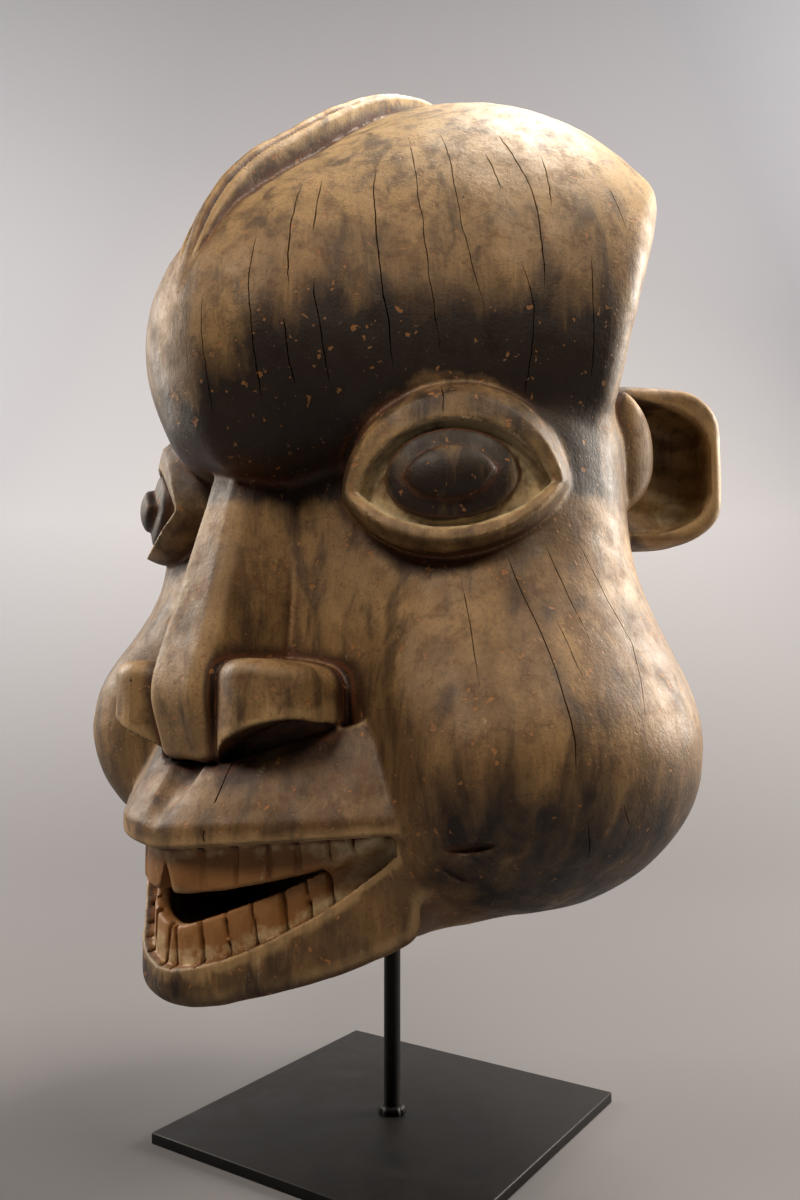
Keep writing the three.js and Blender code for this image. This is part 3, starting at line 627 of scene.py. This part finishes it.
def crest(x, y, z, head):
    side = np.abs(x)
    fade = np.where(y > 0, 1 - 1.3 * ramp(y, *CREST_FADES), 1)
    rising = np.where(y < 0, ramp(z, *CREST_RISES), 1)
    high = (CREST_EDGE + CREST_SWELL * (1 - np.minimum(side / CREST_HALF, 1) ** 2)) * rising * fade
    start = np.where(y < -90, np.sqrt(np.clip((z - 376) / 22, 0.001, 1)), 1)
    flute = np.maximum(1 - np.abs(side - FLUTE_X) / FLUTE_HALF, 0) * FLUTE_DEEP
    flute = flute * np.minimum(rising * 2, 1) * fade
    band = pare(head - high + flute, side - CREST_HALF * start, 1.2)
    band = np.maximum(band, np.where(y < 0, CREST_START_Z - z, -99))
    return np.maximum(band, np.where(y > 60, CREST_END_Z - z, -99))


# Hollow: an egg in the crown over the neck hole, cut with a narrow gouge
EGG_Y, EGG_Z, EGG_RADII = 30, 380, (82, 78, 112)
HOLE_Y, HOLE_HALF, HOLE_DEEP = 16, 70, 62


def hollow(x, y, z):
    room = egg(x, y - EGG_Y, z - EGG_Z, EGG_RADII)
    round_ = np.sqrt((x / HOLE_HALF) ** 2 + ((y - HOLE_Y) / HOLE_DEEP) ** 2) + 1e-6
    neck = np.maximum(np.sqrt(x * x + (y - HOLE_Y) ** 2) * (1 - 1 / round_), z - EGG_Z)
    scallops = 0.9 * uneven(x, y, z * 0.45, 13) + 0.35 * uneven(x, y, z * 0.6, 5)
    return fillet(room, neck, 20) + scallops * ramp(z, 100, 150)


# Small cuts beside the mouth: three leaf-shaped gouges and a pit in each corner
LEAVES = (((104, -95, 157), (114, -96, 170)), ((104, -92, 152), (123, -83, 156)),
          ((101, -90, 148), (109, -76, 139)))
LEAF_HALF = 2.1
PIT = (83, -97, 149, 2.4)


def beside_mouth(form, x, y, z):
    side = np.abs(x)
    for start, end in LEAVES:
        step = [b - a for a, b in zip(start, end)]
        length = sum(v * v for v in step)
        off = (side - start[0], y - start[1], z - start[2])
        share = np.clip(sum(a * b for a, b in zip(off, step)) / length, 0, 1)
        away = np.sqrt(sum((a - share * b) ** 2 for a, b in zip(off, step)))
        form = pare(form, LEAF_HALF * np.sqrt(4 * share * (1 - share) + 0.01) - away, 0.5)
    pit = PIT[3] - np.sqrt((side - PIT[0]) ** 2 + (y - PIT[1]) ** 2 + (z - PIT[2]) ** 2)
    return pare(form, pit, 0.8)


def mask_form(x, y, z):
    """Distance to the surface of the whole mask; each corner's width is given last."""
    head = skull(x, y, z)
    face = fillet(barrel(x, y, z), cheeks(x, y, z), 10 + 24 * ramp(z, 120, 210))
    face = fillet(face, jaw(x, y, z), 8)
    form = fillet(head, face, 4 + 30 * ramp(y, 22, 90))
    form = fillet(form, nose(x, y, z), 2.5)
    form = fillet(form, wing(x, y, z), 1.8)
    form = pare(form, -nostril(x, y, z), 1.2)
    form = fillet(form, upper_lip(x, y, z), 2.2)
    form = mouth_cut(form, x, y, z)
    form = beside_mouth(form, x, y, z)
    form = fillet(form, ear(x, y, z), 2.5)
    form = fillet(form, tragus(x, y, z), 1.6)
    form = with_eyes(form, x, y, z)
    form = fillet(form, crest(x, y, z, head), 0.8)
    form = form + 0.22 * uneven(x, y, z, 9) + 0.4 * uneven(x, y, z, 31)
    return pare(form, -hollow(x, y, z), 3.5)


# The surface is read off on a grid, closest over the face, then thinned where it is plain
BLOCK = 5
GRID = (((-166, 166, 1.25),),
        ((-152, -60, 1.0), (-60, 144, 1.7)),
        ((80, 235, 1.0), (235, 345, 1.2), (345, 526, 1.7)))
LOOSER = 1.0
FACES = 164000
WORKERS = 4
BATCH = 800


def grid_lines(runs):
    """Grid lines of one axis, a whole number of blocks of them."""
    line = np.concatenate([np.arange(start, end, gap * LOOSER) for start, end, gap in runs])
    last = runs[-1][2] * LOOSER
    spare = -len(line) % BLOCK
    return np.concatenate([line, line[-1] + last * np.arange(1, spare + 1)]).astype(np.float32)


def by_batches(work, count, size):
    """Runs work(start, end) over a range, in threads."""
    with ThreadPoolExecutor(WORKERS) as crew:
        starts = range(0, count, size)
        return list(crew.map(lambda start: work(start, min(start + size, count)), starts))


def grid_values(lines):
    """The form on the grid: exact in blocks that the surface may cross, elsewhere only its side."""
    middles = [line.reshape(-1, BLOCK).mean(1) for line in lines]
    halves = [np.ptp(line.reshape(-1, BLOCK), axis=1) * 0.62 for line in lines]
    rough = mask_form(*np.meshgrid(*middles, indexing="ij")).astype(np.float32)
    reach = np.sqrt(sum(half ** 2 for half in np.meshgrid(*halves, indexing="ij")))
    values = rough
    for axis in range(3):
        values = np.repeat(values, BLOCK, axis)
    count = rough.shape
    blocks = values.reshape(count[0], BLOCK, count[1], BLOCK, count[2], BLOCK)
    blocks = blocks.transpose(0, 2, 4, 1, 3, 5)
    # With a margin, as the form is no exact distance
    near = np.argwhere(np.abs(rough) < 1.25 * reach + 1.5)
    steps = np.arange(BLOCK)

    def fill(start, end):
        i, j, k = near[start:end].T
        x = lines[0][i[:, None] * BLOCK + steps][:, :, None, None]
        y = lines[1][j[:, None] * BLOCK + steps][:, None, :, None]
        z = lines[2][k[:, None] * BLOCK + steps][:, None, None, :]
        blocks[i, j, k] = mask_form(*np.broadcast_arrays(x, y, z))

    by_batches(fill, len(near), BATCH)
    return values


def skin(lines, values):
    """One point in each grid cell that the surface crosses, and the quads between them."""
    inside = values < 0
    corners = list(itertools.product((0, 1), repeat=3))
    filled = np.zeros([n - 1 for n in values.shape], np.int8)
    for i, j, k in corners:
        filled += inside[i:i + filled.shape[0], j:j + filled.shape[1], k:k + filled.shape[2]]
    cells = np.argwhere((filled > 0) & (filled < 8))
    number = np.full(filled.shape, -1, np.int32)
    number[tuple(cells.T)] = np.arange(len(cells))
    at = {corner: values[tuple((cells + corner).T)] for corner in corners}
    total = np.zeros((len(cells), 3))
    hits = np.zeros(len(cells))
    for corner in corners:
        for axis in range(3):
            if corner[axis]:
                continue
            far = tuple(1 if k == axis else corner[k] for k in range(3))
            crossing = (at[corner] < 0) != (at[far] < 0)
            share = np.where(crossing, at[corner] / np.where(crossing, at[corner] - at[far], 1), 0)
            for k in range(3):
                total[:, k] += crossing * (share if k == axis else corner[k])
            hits += crossing
    part = total / hits[:, None]
    points = np.stack([line[cell] * (1 - p) + line[cell + 1] * p
                       for line, cell, p in zip(lines, cells.T, part.T)], 1)
    quads = []
    for axis in range(3):
        b, c = (axis + 1) % 3, (axis + 2) % 3
        low = [slice(1, -1)] * 3
        low[axis] = slice(0, -1)
        high = list(low)
        high[axis] = slice(1, None)
        crossing = np.argwhere(inside[tuple(low)] != inside[tuple(high)])
        crossing[:, b] += 1
        crossing[:, c] += 1
        back_b, back_c = np.eye(3, dtype=int)[[b, c]]
        ring = [number[tuple((crossing - off).T)] for off in (back_b + back_c, back_c, 0 * back_b, back_b)]
        quad = np.stack(ring, 1)
        outward = inside[tuple(crossing.T)]
        quads.append(np.where(outward[:, None], quad, quad[:, ::-1]))
    return points, np.concatenate(quads)


def form_at(points):
    """The form's value at many points."""
    points = np.asarray(points, np.float32)
    parts = by_batches(lambda start, end: mask_form(*points[start:end].T), len(points), 60000)
    return np.concatenate(parts)


def form_slope(points, reach=0.35):
    """Which way out is, and how fast the form grows that way, at many points."""
    total = 0
    for way in ((1, -1, -1), (-1, -1, 1), (-1, 1, -1), (1, 1, 1)):
        way = np.array(way, np.float32)
        total = total + form_at(points + reach * way)[:, None] * way
    return total / (4 * reach)


def mesh_from(name, points, faces):
    """A mesh in metres from points in millimetres and faces with equal numbers of corners."""
    mesh = bpy.data.meshes.new(name)
    mesh.vertices.add(len(points))
    mesh.vertices.foreach_set("co", np.asarray(points * 0.001, np.float32).ravel())
    mesh.loops.add(faces.size)
    mesh.loops.foreach_set("vertex_index", np.asarray(faces, np.int32).ravel())
    mesh.polygons.add(len(faces))
    mesh.polygons.foreach_set("loop_start", np.arange(0, faces.size, faces.shape[1], dtype=np.int32))
    mesh.update(calc_edges=True)
    mesh.validate()
    return mesh


def settle(piece):
    """Takes a piece's modifiers into its mesh."""
    graph = bpy.context.evaluated_depsgraph_get()
    mesh = bpy.data.meshes.new_from_object(piece.evaluated_get(graph))
    piece.modifiers.clear()
    piece.data = mesh


def places(mesh):
    """The mesh's points, in millimetres."""
    flat = np.empty(len(mesh.vertices) * 3, np.float32)
    mesh.vertices.foreach_get("co", flat)
    return flat.reshape(-1, 3) * 1000


# Drying cracks run in planes through the log's upright heart, so each is given by its width and
# by directions from there in degrees: round from the front, and up.
HEART = np.array([0.0, 10.0, 330.0])
FACE_CRACKS = (
    (0.6, (34, 44), (35, 33), (37, 17), (39, 3)),
    (0.4, (42, 54), (45, 25), (48, 6)),
    (0.4, (51, 53), (52, 30), (56, 14)),
    (0.6, (65, 50), (67, 35), (67, 17)),
    (0.5, (63, 22), (65, 14), (65, -1)),
    (0.5, (76, 23), (76, 13), (77, 3)),
    (0.6, (22, 41), (24, 27)),
    (0.6, (18, 39), (21, 16)),
    (0.5, (25, 18), (27, 0)),
    (0.5, (20, 11), (21, 0)),
    (0.55, (14, 25), (15, 9), (15, -3)),
    (0.5, (6, 15), (6, 9), (6, -4)),
    (0.5, (60, 45), (61, 36)),
    (0.5, (72, 43), (70, 32)),
    (0.45, (84, 36), (84, 28)),
    (0.45, (51, -32), (51, -38)),
    (0.55, (59, -28), (61, -34), (62, -39), (62, -42)),
    (0.4, (64, -45), (66, -49)),
    (0.4, (64, -33), (65, -36)),
    (0.45, (66, -26), (68, -34)),
    (0.4, (72, -25), (76, -34), (73, -38)),
    (0.4, (69, -44), (71, -46)),
    (0.4, (-6, -50), (-10, -49)),
    (0.4, (12, -46), (10, -49), (10, -53)),
    (0.35, (5, -58), (5, -59)),
    (0.4, (48, 0), (48, -6)),
)


def hidden_cracks():
    """Cracks round the side and back, spaced so that none meet each other or the crest."""
    pick = np.random.RandomState(5)
    found = []
    for number, round_ in enumerate(range(112, 300, 8)):
        top = pick.uniform(40, 60)
        fall = pick.uniform(15, 48)
        if round_ < 130 or round_ > 232:
            fall = pick.uniform(12, 30)
        lean = pick.uniform(-1.5, 1.5)
        width = pick.uniform(0.35, 0.8)
        if abs(round_ - 180) < 10:
            continue
        found.append((width, (round_, top), (round_ + lean, top - fall / 2), (round_ - lean, top - fall)))
        if number % 3 == 0 and not 225 < round_ < 275:
            found.append((width, (round_ + 3, -22), (round_ + 2, -22 - fall / 2)))
    return found


def crack_path(bends):
    """Points down a crack, as directions from the heart, about 2.5 mm apart."""
    bends = np.array(bends, float)
    along = np.concatenate([[0], np.cumsum(np.hypot(*np.diff(bends, axis=0).T))])
    steps = np.linspace(0, along[-1], max(5, int(along[-1] / 1.1)))
    return np.radians([np.interp(steps, along, bends[:, k]) for k in (0, 1)])


def meet_surface(round_, up):
    """Where rays from far off towards the heart first meet the wood."""
    way = np.stack([np.cos(up) * np.sin(round_), -np.cos(up) * np.cos(round_), np.sin(up)], 1)
    reach = np.full(len(way), 240.0)
    for _ in range(90):
        reach -= np.clip(form_at(HEART + way * reach[:, None]) * 0.8, -1, 8)
    return HEART + way * reach[:, None]


def unit(rows):
    """Rows of vectors, each made one long."""
    return rows / (np.linalg.norm(rows, axis=1, keepdims=True) + 1e-9)


PROUD = 1.4


def crack_wedges(cracks):
    """All cracks as thin wedges that stand a little proud of the surface, for cutting."""
    pick = np.random.RandomState(3)
    points, faces = [], []
    for width, *bends in cracks:
        round_, up = crack_path(bends)
        count = len(round_)
        sway = np.convolve(pick.uniform(-1, 1, count + 6), np.ones(4) / 4, "same")[3:-3]
        on = meet_surface(round_ + np.radians(0.45) * sway, up)
        out = unit(form_slope(on, 1.5))
        side = unit(np.cross(np.gradient(on, axis=0), out))
        share = np.linspace(0, 1, count)
        taper = np.clip(np.minimum(share, 1 - share) * 7, 0.05, 1) ** 0.6 * pick.uniform(0.75, 1.15, count)
        deep = (0.6 + 3.4 * width * taper)[:, None]
        half = 0.5 * (width * taper)[:, None] * (1 + PROUD / deep)
        start = sum(len(p) for p in points)
        points += [on + out * PROUD + side * half, on + out * PROUD - side * half, on - out * deep]
        for i in range(count - 1):
            for a, b in ((0, 1), (1, 2), (2, 0)):
                low, high = start + a * count + i, start + b * count + i
                faces += [(low, low + 1, high + 1), (low, high + 1, high)]
        first, last = (start, start + count, start + 2 * count), start + count - 1
        faces += [first, (last, last + 2 * count, last + count)]
    return np.concatenate(points), np.array(faces)


def cut_cracks(piece, cracks):
    """Cuts the wedges out of the piece, by the exact solver where the quick one refuses."""
    blade = put_in_scene(mesh_from("crack_wedges", *crack_wedges(cracks)))
    closed = bmesh.new()
    closed.from_mesh(blade.data)
    bmesh.ops.recalc_face_normals(closed, faces=closed.faces[:])
    closed.to_mesh(blade.data)
    closed.free()
    before = len(piece.data.polygons)
    for solver in ("MANIFOLD", "EXACT"):
        cutter = piece.modifiers.new("cracks", "BOOLEAN")
        cutter.operation, cutter.solver, cutter.object = "DIFFERENCE", solver, blade
        graph = bpy.context.evaluated_depsgraph_get()
        mesh = bpy.data.meshes.new_from_object(piece.evaluated_get(graph))
        piece.modifiers.clear()
        if len(mesh.polygons) > before:
            piece.data = mesh
            break
    bpy.data.objects.remove(blade)


def finish_marks(mesh):
    """How worn, dirty, burnt or whitened the wood is at each point, and where light and shade are painted,
    for the material to read.
    """
    at = places(mesh)
    out = unit(form_slope(at))
    x, y, z = at.T
    side = np.abs(x)
    # How much wood stands round a point, from 3.5 mm and 11 mm off: red earth and painted shade go in the
    # crevices, painted shade in the wider hollows
    close = 1 - form_at(at + 3.5 * out) / 3.5
    wide = 1 - form_at(at + 11 * out) / 11
    marks = {"crevice_earth_and_shade": np.clip(close * 1.2 - 0.1, 0, 1), "painted_hollow_shade": np.clip(wide * 1.1 - 0.1, 0, 1)}
    marks["edge"] = np.clip((form_at(at - 3 * out) / 3 + 1) * 2.2 - 0.1, 0, 1)
    marks["crack"] = np.clip(-form_at(at) - 0.25, 0, 1)
    marks["inside"] = ramp(-hollow(x, y, z), -4, 1)
    # Chalk lies on the white of the eye, thickest in its rim; iris and lids are smoked
    across, up, raised = eye_place(x, y, z)
    in_front = ramp(raised, -14, -6)
    slit, iris, rim = slit_edge(across, up), iris_edge(across, up), almond(across, up, *RIM)
    eye = ramp(-slit, -2.5, 0.5) * ramp(iris, -1, 1) * in_front
    eye *= 0.75 + 0.3 * ramp(slit, -7, -2)
    looks = ramp(-iris, -1, 1) * in_front
    lids = ramp(slit, 0, 3) * ramp(-rim, -1, 3) * in_front
    # Teeth are stained, with chalk left at the gums, at the back and in the mouth's corners
    low = gum_line(np.minimum(side, 80))
    row = lower_row(x, y) + (upper_row(x, y) - lower_row(x, y)) * ramp(z, 130, 140)
    teeth = ramp(z, low - 4, low + 3) * ramp(lip_bottom(side) - z, -1, 3) * ramp(-y, 60, 80)
    teeth *= ramp(row, -14, -5) * ramp(-row, -6, 0)
    corner = np.exp(-((side - 75) / 6) ** 2 - ((z - 150) / 6) ** 2) * ramp(-y, 76, 90)
    base = ramp(-z, -low - 9, -low - 1) + ramp(side, 45, 70) + 0.9 * ramp(z - lip_bottom(side), -5, -1)
    base = np.minimum(base, 1.2)
    marks["kaolin_and_painted_light"] = np.clip(eye + (0.2 + 0.7 * base) * teeth + 0.9 * corner, 0, 1)
    marks["stain"] = teeth
    # The ear cups: painted shade on the upper inside, painted light in chalk colour on the lower inside
    cup = ramp(-ear(x, y, z), -1, 1) * ramp(wide, 0.05, 0.3)
    marks["kaolin_and_painted_light"] = np.maximum(marks["kaolin_and_painted_light"], 1.1 * cup * ramp(304 - z, -6, 14))
    marks["inside"] = np.maximum(marks["inside"], 0.4 * cup * ramp(z, 288, 306))
    # Burnt over the brow; the same dark is painted shade under the brow, under the cheeks and on the chin
    brow = ramp(386 - 30 * ramp(-x, -70, 0) - z, 0, 48) * ramp(z, 285, 292) * ramp(-y, -10, 25)
    brow *= 0.7 + 0.3 * ramp(x, -10, 60)
    brow *= 1 - 0.7 * ramp(-rim, -4, 2) * ramp(raised, -16, -8)
    under = ramp(-z, -190, -160) * ramp(side, 85, 112)
    chin = ramp(-z, -112, -92)
    burnt = 0.9 * brow + 0.4 * under + 0.35 * chin
    marks["soot_and_painted_shade"] = np.clip(np.maximum(burnt, 0.62 * looks + 0.2 * lids), 0, 1)
    for name, amount in marks.items():
        layer = mesh.attributes.new(name, "FLOAT", "POINT")
        layer.data.foreach_set("value", np.asarray(amount, np.float32))


def maths(tree, operation, *values):
    """A value worked out from others."""
    return add(tree, "Math", dict(enumerate(values)), operation=operation).outputs[0]


def carved_wood():
    """Dense tropical hardwood, hand carved and long handled: warm brown under a soft wax sheen,
    fine upright grain, burnt bands, red earth in the cuts, pale chalk round eyes and teeth,
    with painted light and shade: a lighter crown, a darker jaw, dark hollows and undersides, lit ear cups."""
    material, tree = new_material("carved_patinated_wood")
    place = add(tree, "TexCoord").outputs["Object"]
    upright = add(tree, "VectorMath", {0: place, 1: (1.0, 1.0, 0.05)}, operation="MULTIPLY").outputs[0]
    tall = add(tree, "VectorMath", {0: place, 1: (1.0, 1.0, 0.3)}, operation="MULTIPLY").outputs[0]
    # Pores about 1 mm wide and 20 mm long, and dabs of stain 12 mm wide and 40 mm high
    pores = noise(tree, upright, 900.0, 4.0, 0.6)
    dabs = noise(tree, tall, 85.0, 5.0, 0.6, 0.4)
    # Clouds of stain 50 mm across, dirt that breaks up at 10 mm, and grains of about 1 mm
    stains = noise(tree, place, 20.0, 7.0, 0.6, 0.5)
    patches = noise(tree, place, 95.0, 6.0, 0.7)
    grit = noise(tree, place, 750.0, 3.0, 0.6)
    height = add(tree, "SeparateXYZ", {0: place}).outputs[2]

    ground = spread(tree, stains, 0.35, 0.65, 1.0)
    colour = blend(tree, ground, paint("#684e2f"), "#9c7d51")
    # Each tint: what it follows, where it begins and is full, how strongly, and its colour.
    # The first two are painted light and shade: the crown painted lighter tan, as if lit from above, and
    # the jaw painted darker.
    tints = (
        (height, 0.38, 0.48, 0.75, "#b99e6f"),
        (height, 0.24, 0.13, 0.5, "#4c3018"),
        (dabs, 0.53, 0.64, 0.55, "#4b3724"),
        (dabs, 0.42, 0.28, 0.5, "#a98757"),
        (patches, 0.5, 0.64, 0.6, "#553a20"),
        (pores, 0.5, 0.75, 0.4, "#48301e"),
        (grit, 0.56, 0.7, 0.45, "#3d2a1b"),
    )
    for value, begins, full, strength, code in tints:
        colour = blend(tree, spread(tree, value, begins, full, strength), colour, code)
    # Thin dark veins that wander across the cheeks and brow
    drift = noise(tree, place, 13.0, 5.0)
    off_vein = maths(tree, "SUBTRACT", drift, 0.5)
    distance = maths(tree, "ABSOLUTE", off_vein)
    line = spread(tree, distance, 0.004, 0.001, 0.7)
    vein = maths(tree, "MULTIPLY", line, dabs)
    colour = blend(tree, vein, colour, "#38261a")
    # Each mark: what breaks it up, how strongly, where it begins and is full, and its colour
    worn = (
        ("edge", patches, 0.6, 0.5, 0.95, 0.55, "#bc9c6c"),
        # Burnt black, and painted shade on the undersides of brow, cheeks and chin
        ("soot_and_painted_shade", dabs, 1.3, 0.6, 1.2, 0.97, "#180a03"),
        # Painted shade in wide hollows and under overhangs
        ("painted_hollow_shade", patches, 0.5, 0.45, 0.9, 0.85, "#2e1708"),
        ("crevice_earth_and_shade", grit, 0.5, 0.42, 0.72, 0.7, "#5c3215"),
        # Painted shade: the deepest crevices darkened nearly black
        ("crevice_earth_and_shade", patches, 0.4, 0.75, 1.05, 0.92, "#221107"),
        ("stain", patches, 0.6, 0.5, 1.05, 0.8, "#8f6030"),
        # Pale chalk round eyes and teeth, and painted light in the lower ear cups
        ("kaolin_and_painted_light", patches, 2.0, 1.45, 2.1, 0.8, "#d3c096"),
        # The hollow's inside darker, with painted shade in the upper ear cups
        ("inside", patches, 0.3, 0.4, 0.9, 0.75, "#40291a"),
        ("crack", grit, 0.3, 0.2, 0.6, 0.95, "#130a05"),
    )
    for mark, breaker, share, begins, full, strength, code in worn:
        level = add(tree, "Attribute", attribute_name=mark).outputs["Fac"]
        ragged = maths(tree, "MULTIPLY_ADD", breaker, share, level)
        colour = blend(tree, spread(tree, ragged, begins, full, strength), colour, code)
    # Chips of 2 mm that bare the orange wood, and old worm holes 1 mm across
    chance = maths(tree, "MULTIPLY_ADD", patches, 0.6, noise(tree, place, 330.0, 2.0, 0.4))
    chip = spread(tree, chance, 1.0, 1.04, 0.7)
    cells = add(tree, "TexVoronoi", {"Vector": place, "Scale": 34.0})
    hole = spread(tree, cells.outputs["Distance"], 0.03, 0.018, 0.9)
    # Rubs, pale where something hard has brushed along the bulges
    rub = spread(tree, noise(tree, tall, 48.0, 9.0, 0.78), 0.62, 0.73, 0.75)
    for factor, code in ((chip, "#9a6a3c"), (hole, "#160c06"), (rub, "#c6b493")):
        colour = blend(tree, factor, colour, code)

    gloss = spread(tree, patches, 0.3, 0.75, 0.72, first=0.42)
    coarse = maths(tree, "MULTIPLY_ADD", pores, 0.2, patches)
    dented = maths(tree, "MULTIPLY_ADD", chip, -0.5, coarse)
    deep = add(tree, "Bump", {"Strength": 0.4, "Distance": 0.001, "Height": dented}).outputs[0]
    fine = add(tree, "Bump", {"Strength": 0.45, "Distance": 0.0003, "Height": grit, "Normal": deep})
    surface(tree, {
        "Base Color": colour, "Roughness": gloss, "IOR": 1.45, "Coat Weight": 0.02,
        "Coat Roughness": 0.3, "Normal": fine.outputs[0]})
    return material


SHARP_DEGREES = 50


def carve_mask():
    """The mask's mesh, read off the form, thinned, cracked and marked."""
    lines = [grid_lines(runs) for runs in GRID]
    points, quads = skin(lines, grid_values(lines))
    slope = form_slope(points)
    shift = form_at(points)[:, None] * slope / ((slope ** 2).sum(1, keepdims=True) + 0.05)
    points = points - np.clip(shift, -0.5, 0.5)
    piece = object_from(mesh_from("carved_mask", points, quads), carved_wood(), SHARP_DEGREES)
    thin = piece.modifiers.new("thin", "DECIMATE")
    thin.ratio = min(1.0, FACES / (2 * len(quads)))
    settle(piece)
    cut_cracks(piece, list(FACE_CRACKS) + hidden_cracks())
    shade_smooth(piece.data, SHARP_DEGREES)
    finish_marks(piece.data)
    return piece


mask = carve_mask()
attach(mask, "root")
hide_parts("mask")


# The studio: a pale floor that sweeps up into a wall, a camera at eye height with the cheeks,
# large soft lights and no other thing in view.

TURN = math.radians(41.5)
RIGHT = Vector((math.cos(TURN), math.sin(TURN), 0))
AWAY = Vector((-math.sin(TURN), math.cos(TURN), 0))
UP = Vector((0, 0, 1))
SWEEP_START, SWEEP_RADIUS, WALL_TOP, HALF_WIDTH, FLOOR_FRONT = 0.55, 0.9, 2.8, 3.0, -2.2


def backdrop():
    """Pale seamless paper, matt."""
    profile = [(FLOOR_FRONT, 0.0), (SWEEP_START, 0.0)]
    for i in range(1, 33):
        angle = math.pi / 2 * i / 32
        profile.append((SWEEP_START + SWEEP_RADIUS * math.sin(angle), SWEEP_RADIUS * (1 - math.cos(angle))))
    profile.append((SWEEP_START + SWEEP_RADIUS, WALL_TOP))
    shape = bmesh.new()
    rows = [[shape.verts.new(AWAY * away + UP * up + RIGHT * side) for side in (-HALF_WIDTH, HALF_WIDTH)]
            for away, up in profile]
    for low, high in zip(rows, rows[1:]):
        shape.faces.new((low[0], low[1], high[1], high[0]))
    mesh = mesh_of(shape, "paper_sweep")
    material, tree = new_material("matt_pale_paper")
    # Painted shade: grey where it lies on the floor, paler where it hangs
    height = add(tree, "SeparateXYZ", {0: add(tree, "TexCoord").outputs["Object"]}).outputs[2]
    painted_shade_fades = spread(tree, height, 0.0, 0.5, 1.0)
    tint = blend(tree, painted_shade_fades, paint("#636366"), "#9d9da1")
    surface(tree, {"Base Color": tint, "Roughness": 0.9, "IOR": 1.4})
    return object_from(mesh, material, 60)


backdrop()


# Soft lights: name, place and aim (right, away and up from the foot), size, power, colour
LIGHTS = (
    ("key_window", (0.45, -0.75, 1.2), (0, 0, 0.3), (0.4, 0.4), 6.5, "#ffedd8"),
    ("front_window", (-0.6, -0.7, 1.15), (0, 0, 0.25), (0.35, 0.35), 8.0, "#ffeedd"),
    ("side_window", (1.2, 0.35, 0.75), (0, 0, 0.3), (0.6, 0.9), 40.0, "#fff4e6"),
    ("top_window", (0.3, 0.25, 1.35), (0, 0, 0.35), (0.5, 0.4), 18.0, "#fff2e2"),
    ("left_window", (-1.1, 0.45, 0.75), (0, 0, 0.3), (0.4, 0.8), 14.0, "#fff2e2"),
    ("left_glow", (-1.2, 0.3, 1.0), (-0.9, 1.4, 0.75), (0.5, 0.9), 21.0, "#fffcfa"),
    ("right_glow", (1.2, 0.5, 1.45), (0.95, 1.45, 1.4), (0.4, 0.8), 16.0, "#fffcfa"),
)

for name, place, aim, size, power, colour in LIGHTS:
    lamp = bpy.data.lights.new(name, "AREA")
    lamp.shape, lamp.size, lamp.size_y = "RECTANGLE", size[0], size[1]
    lamp.energy, lamp.color = power, paint(colour)[:3]
    spot, target = (RIGHT * v[0] + AWAY * v[1] + UP * v[2] for v in (place, aim))
    light = put_in_scene(lamp)
    light.location = spot
    light.rotation_euler = (target - spot).to_track_quat("-Z", "Y").to_euler()

world = bpy.data.worlds.new("dim_room")
world.use_nodes = True
sky = world.node_tree.nodes["Background"].inputs
sky["Color"].default_value = paint("#b9b6b3")
sky["Strength"].default_value = 0.03
bpy.context.scene.world = world

camera_data = bpy.data.cameras.new("camera")
camera_data.lens, camera_data.clip_start = 30.0, 0.01
camera = put_in_scene(camera_data)
camera.location = (0.33416, -0.37196, 0.216)
camera.rotation_euler = (math.radians(94.2), 0.0, TURN)
bpy.context.scene.camera = camera
bpy.context.scene.view_settings.view_transform = "Standard"
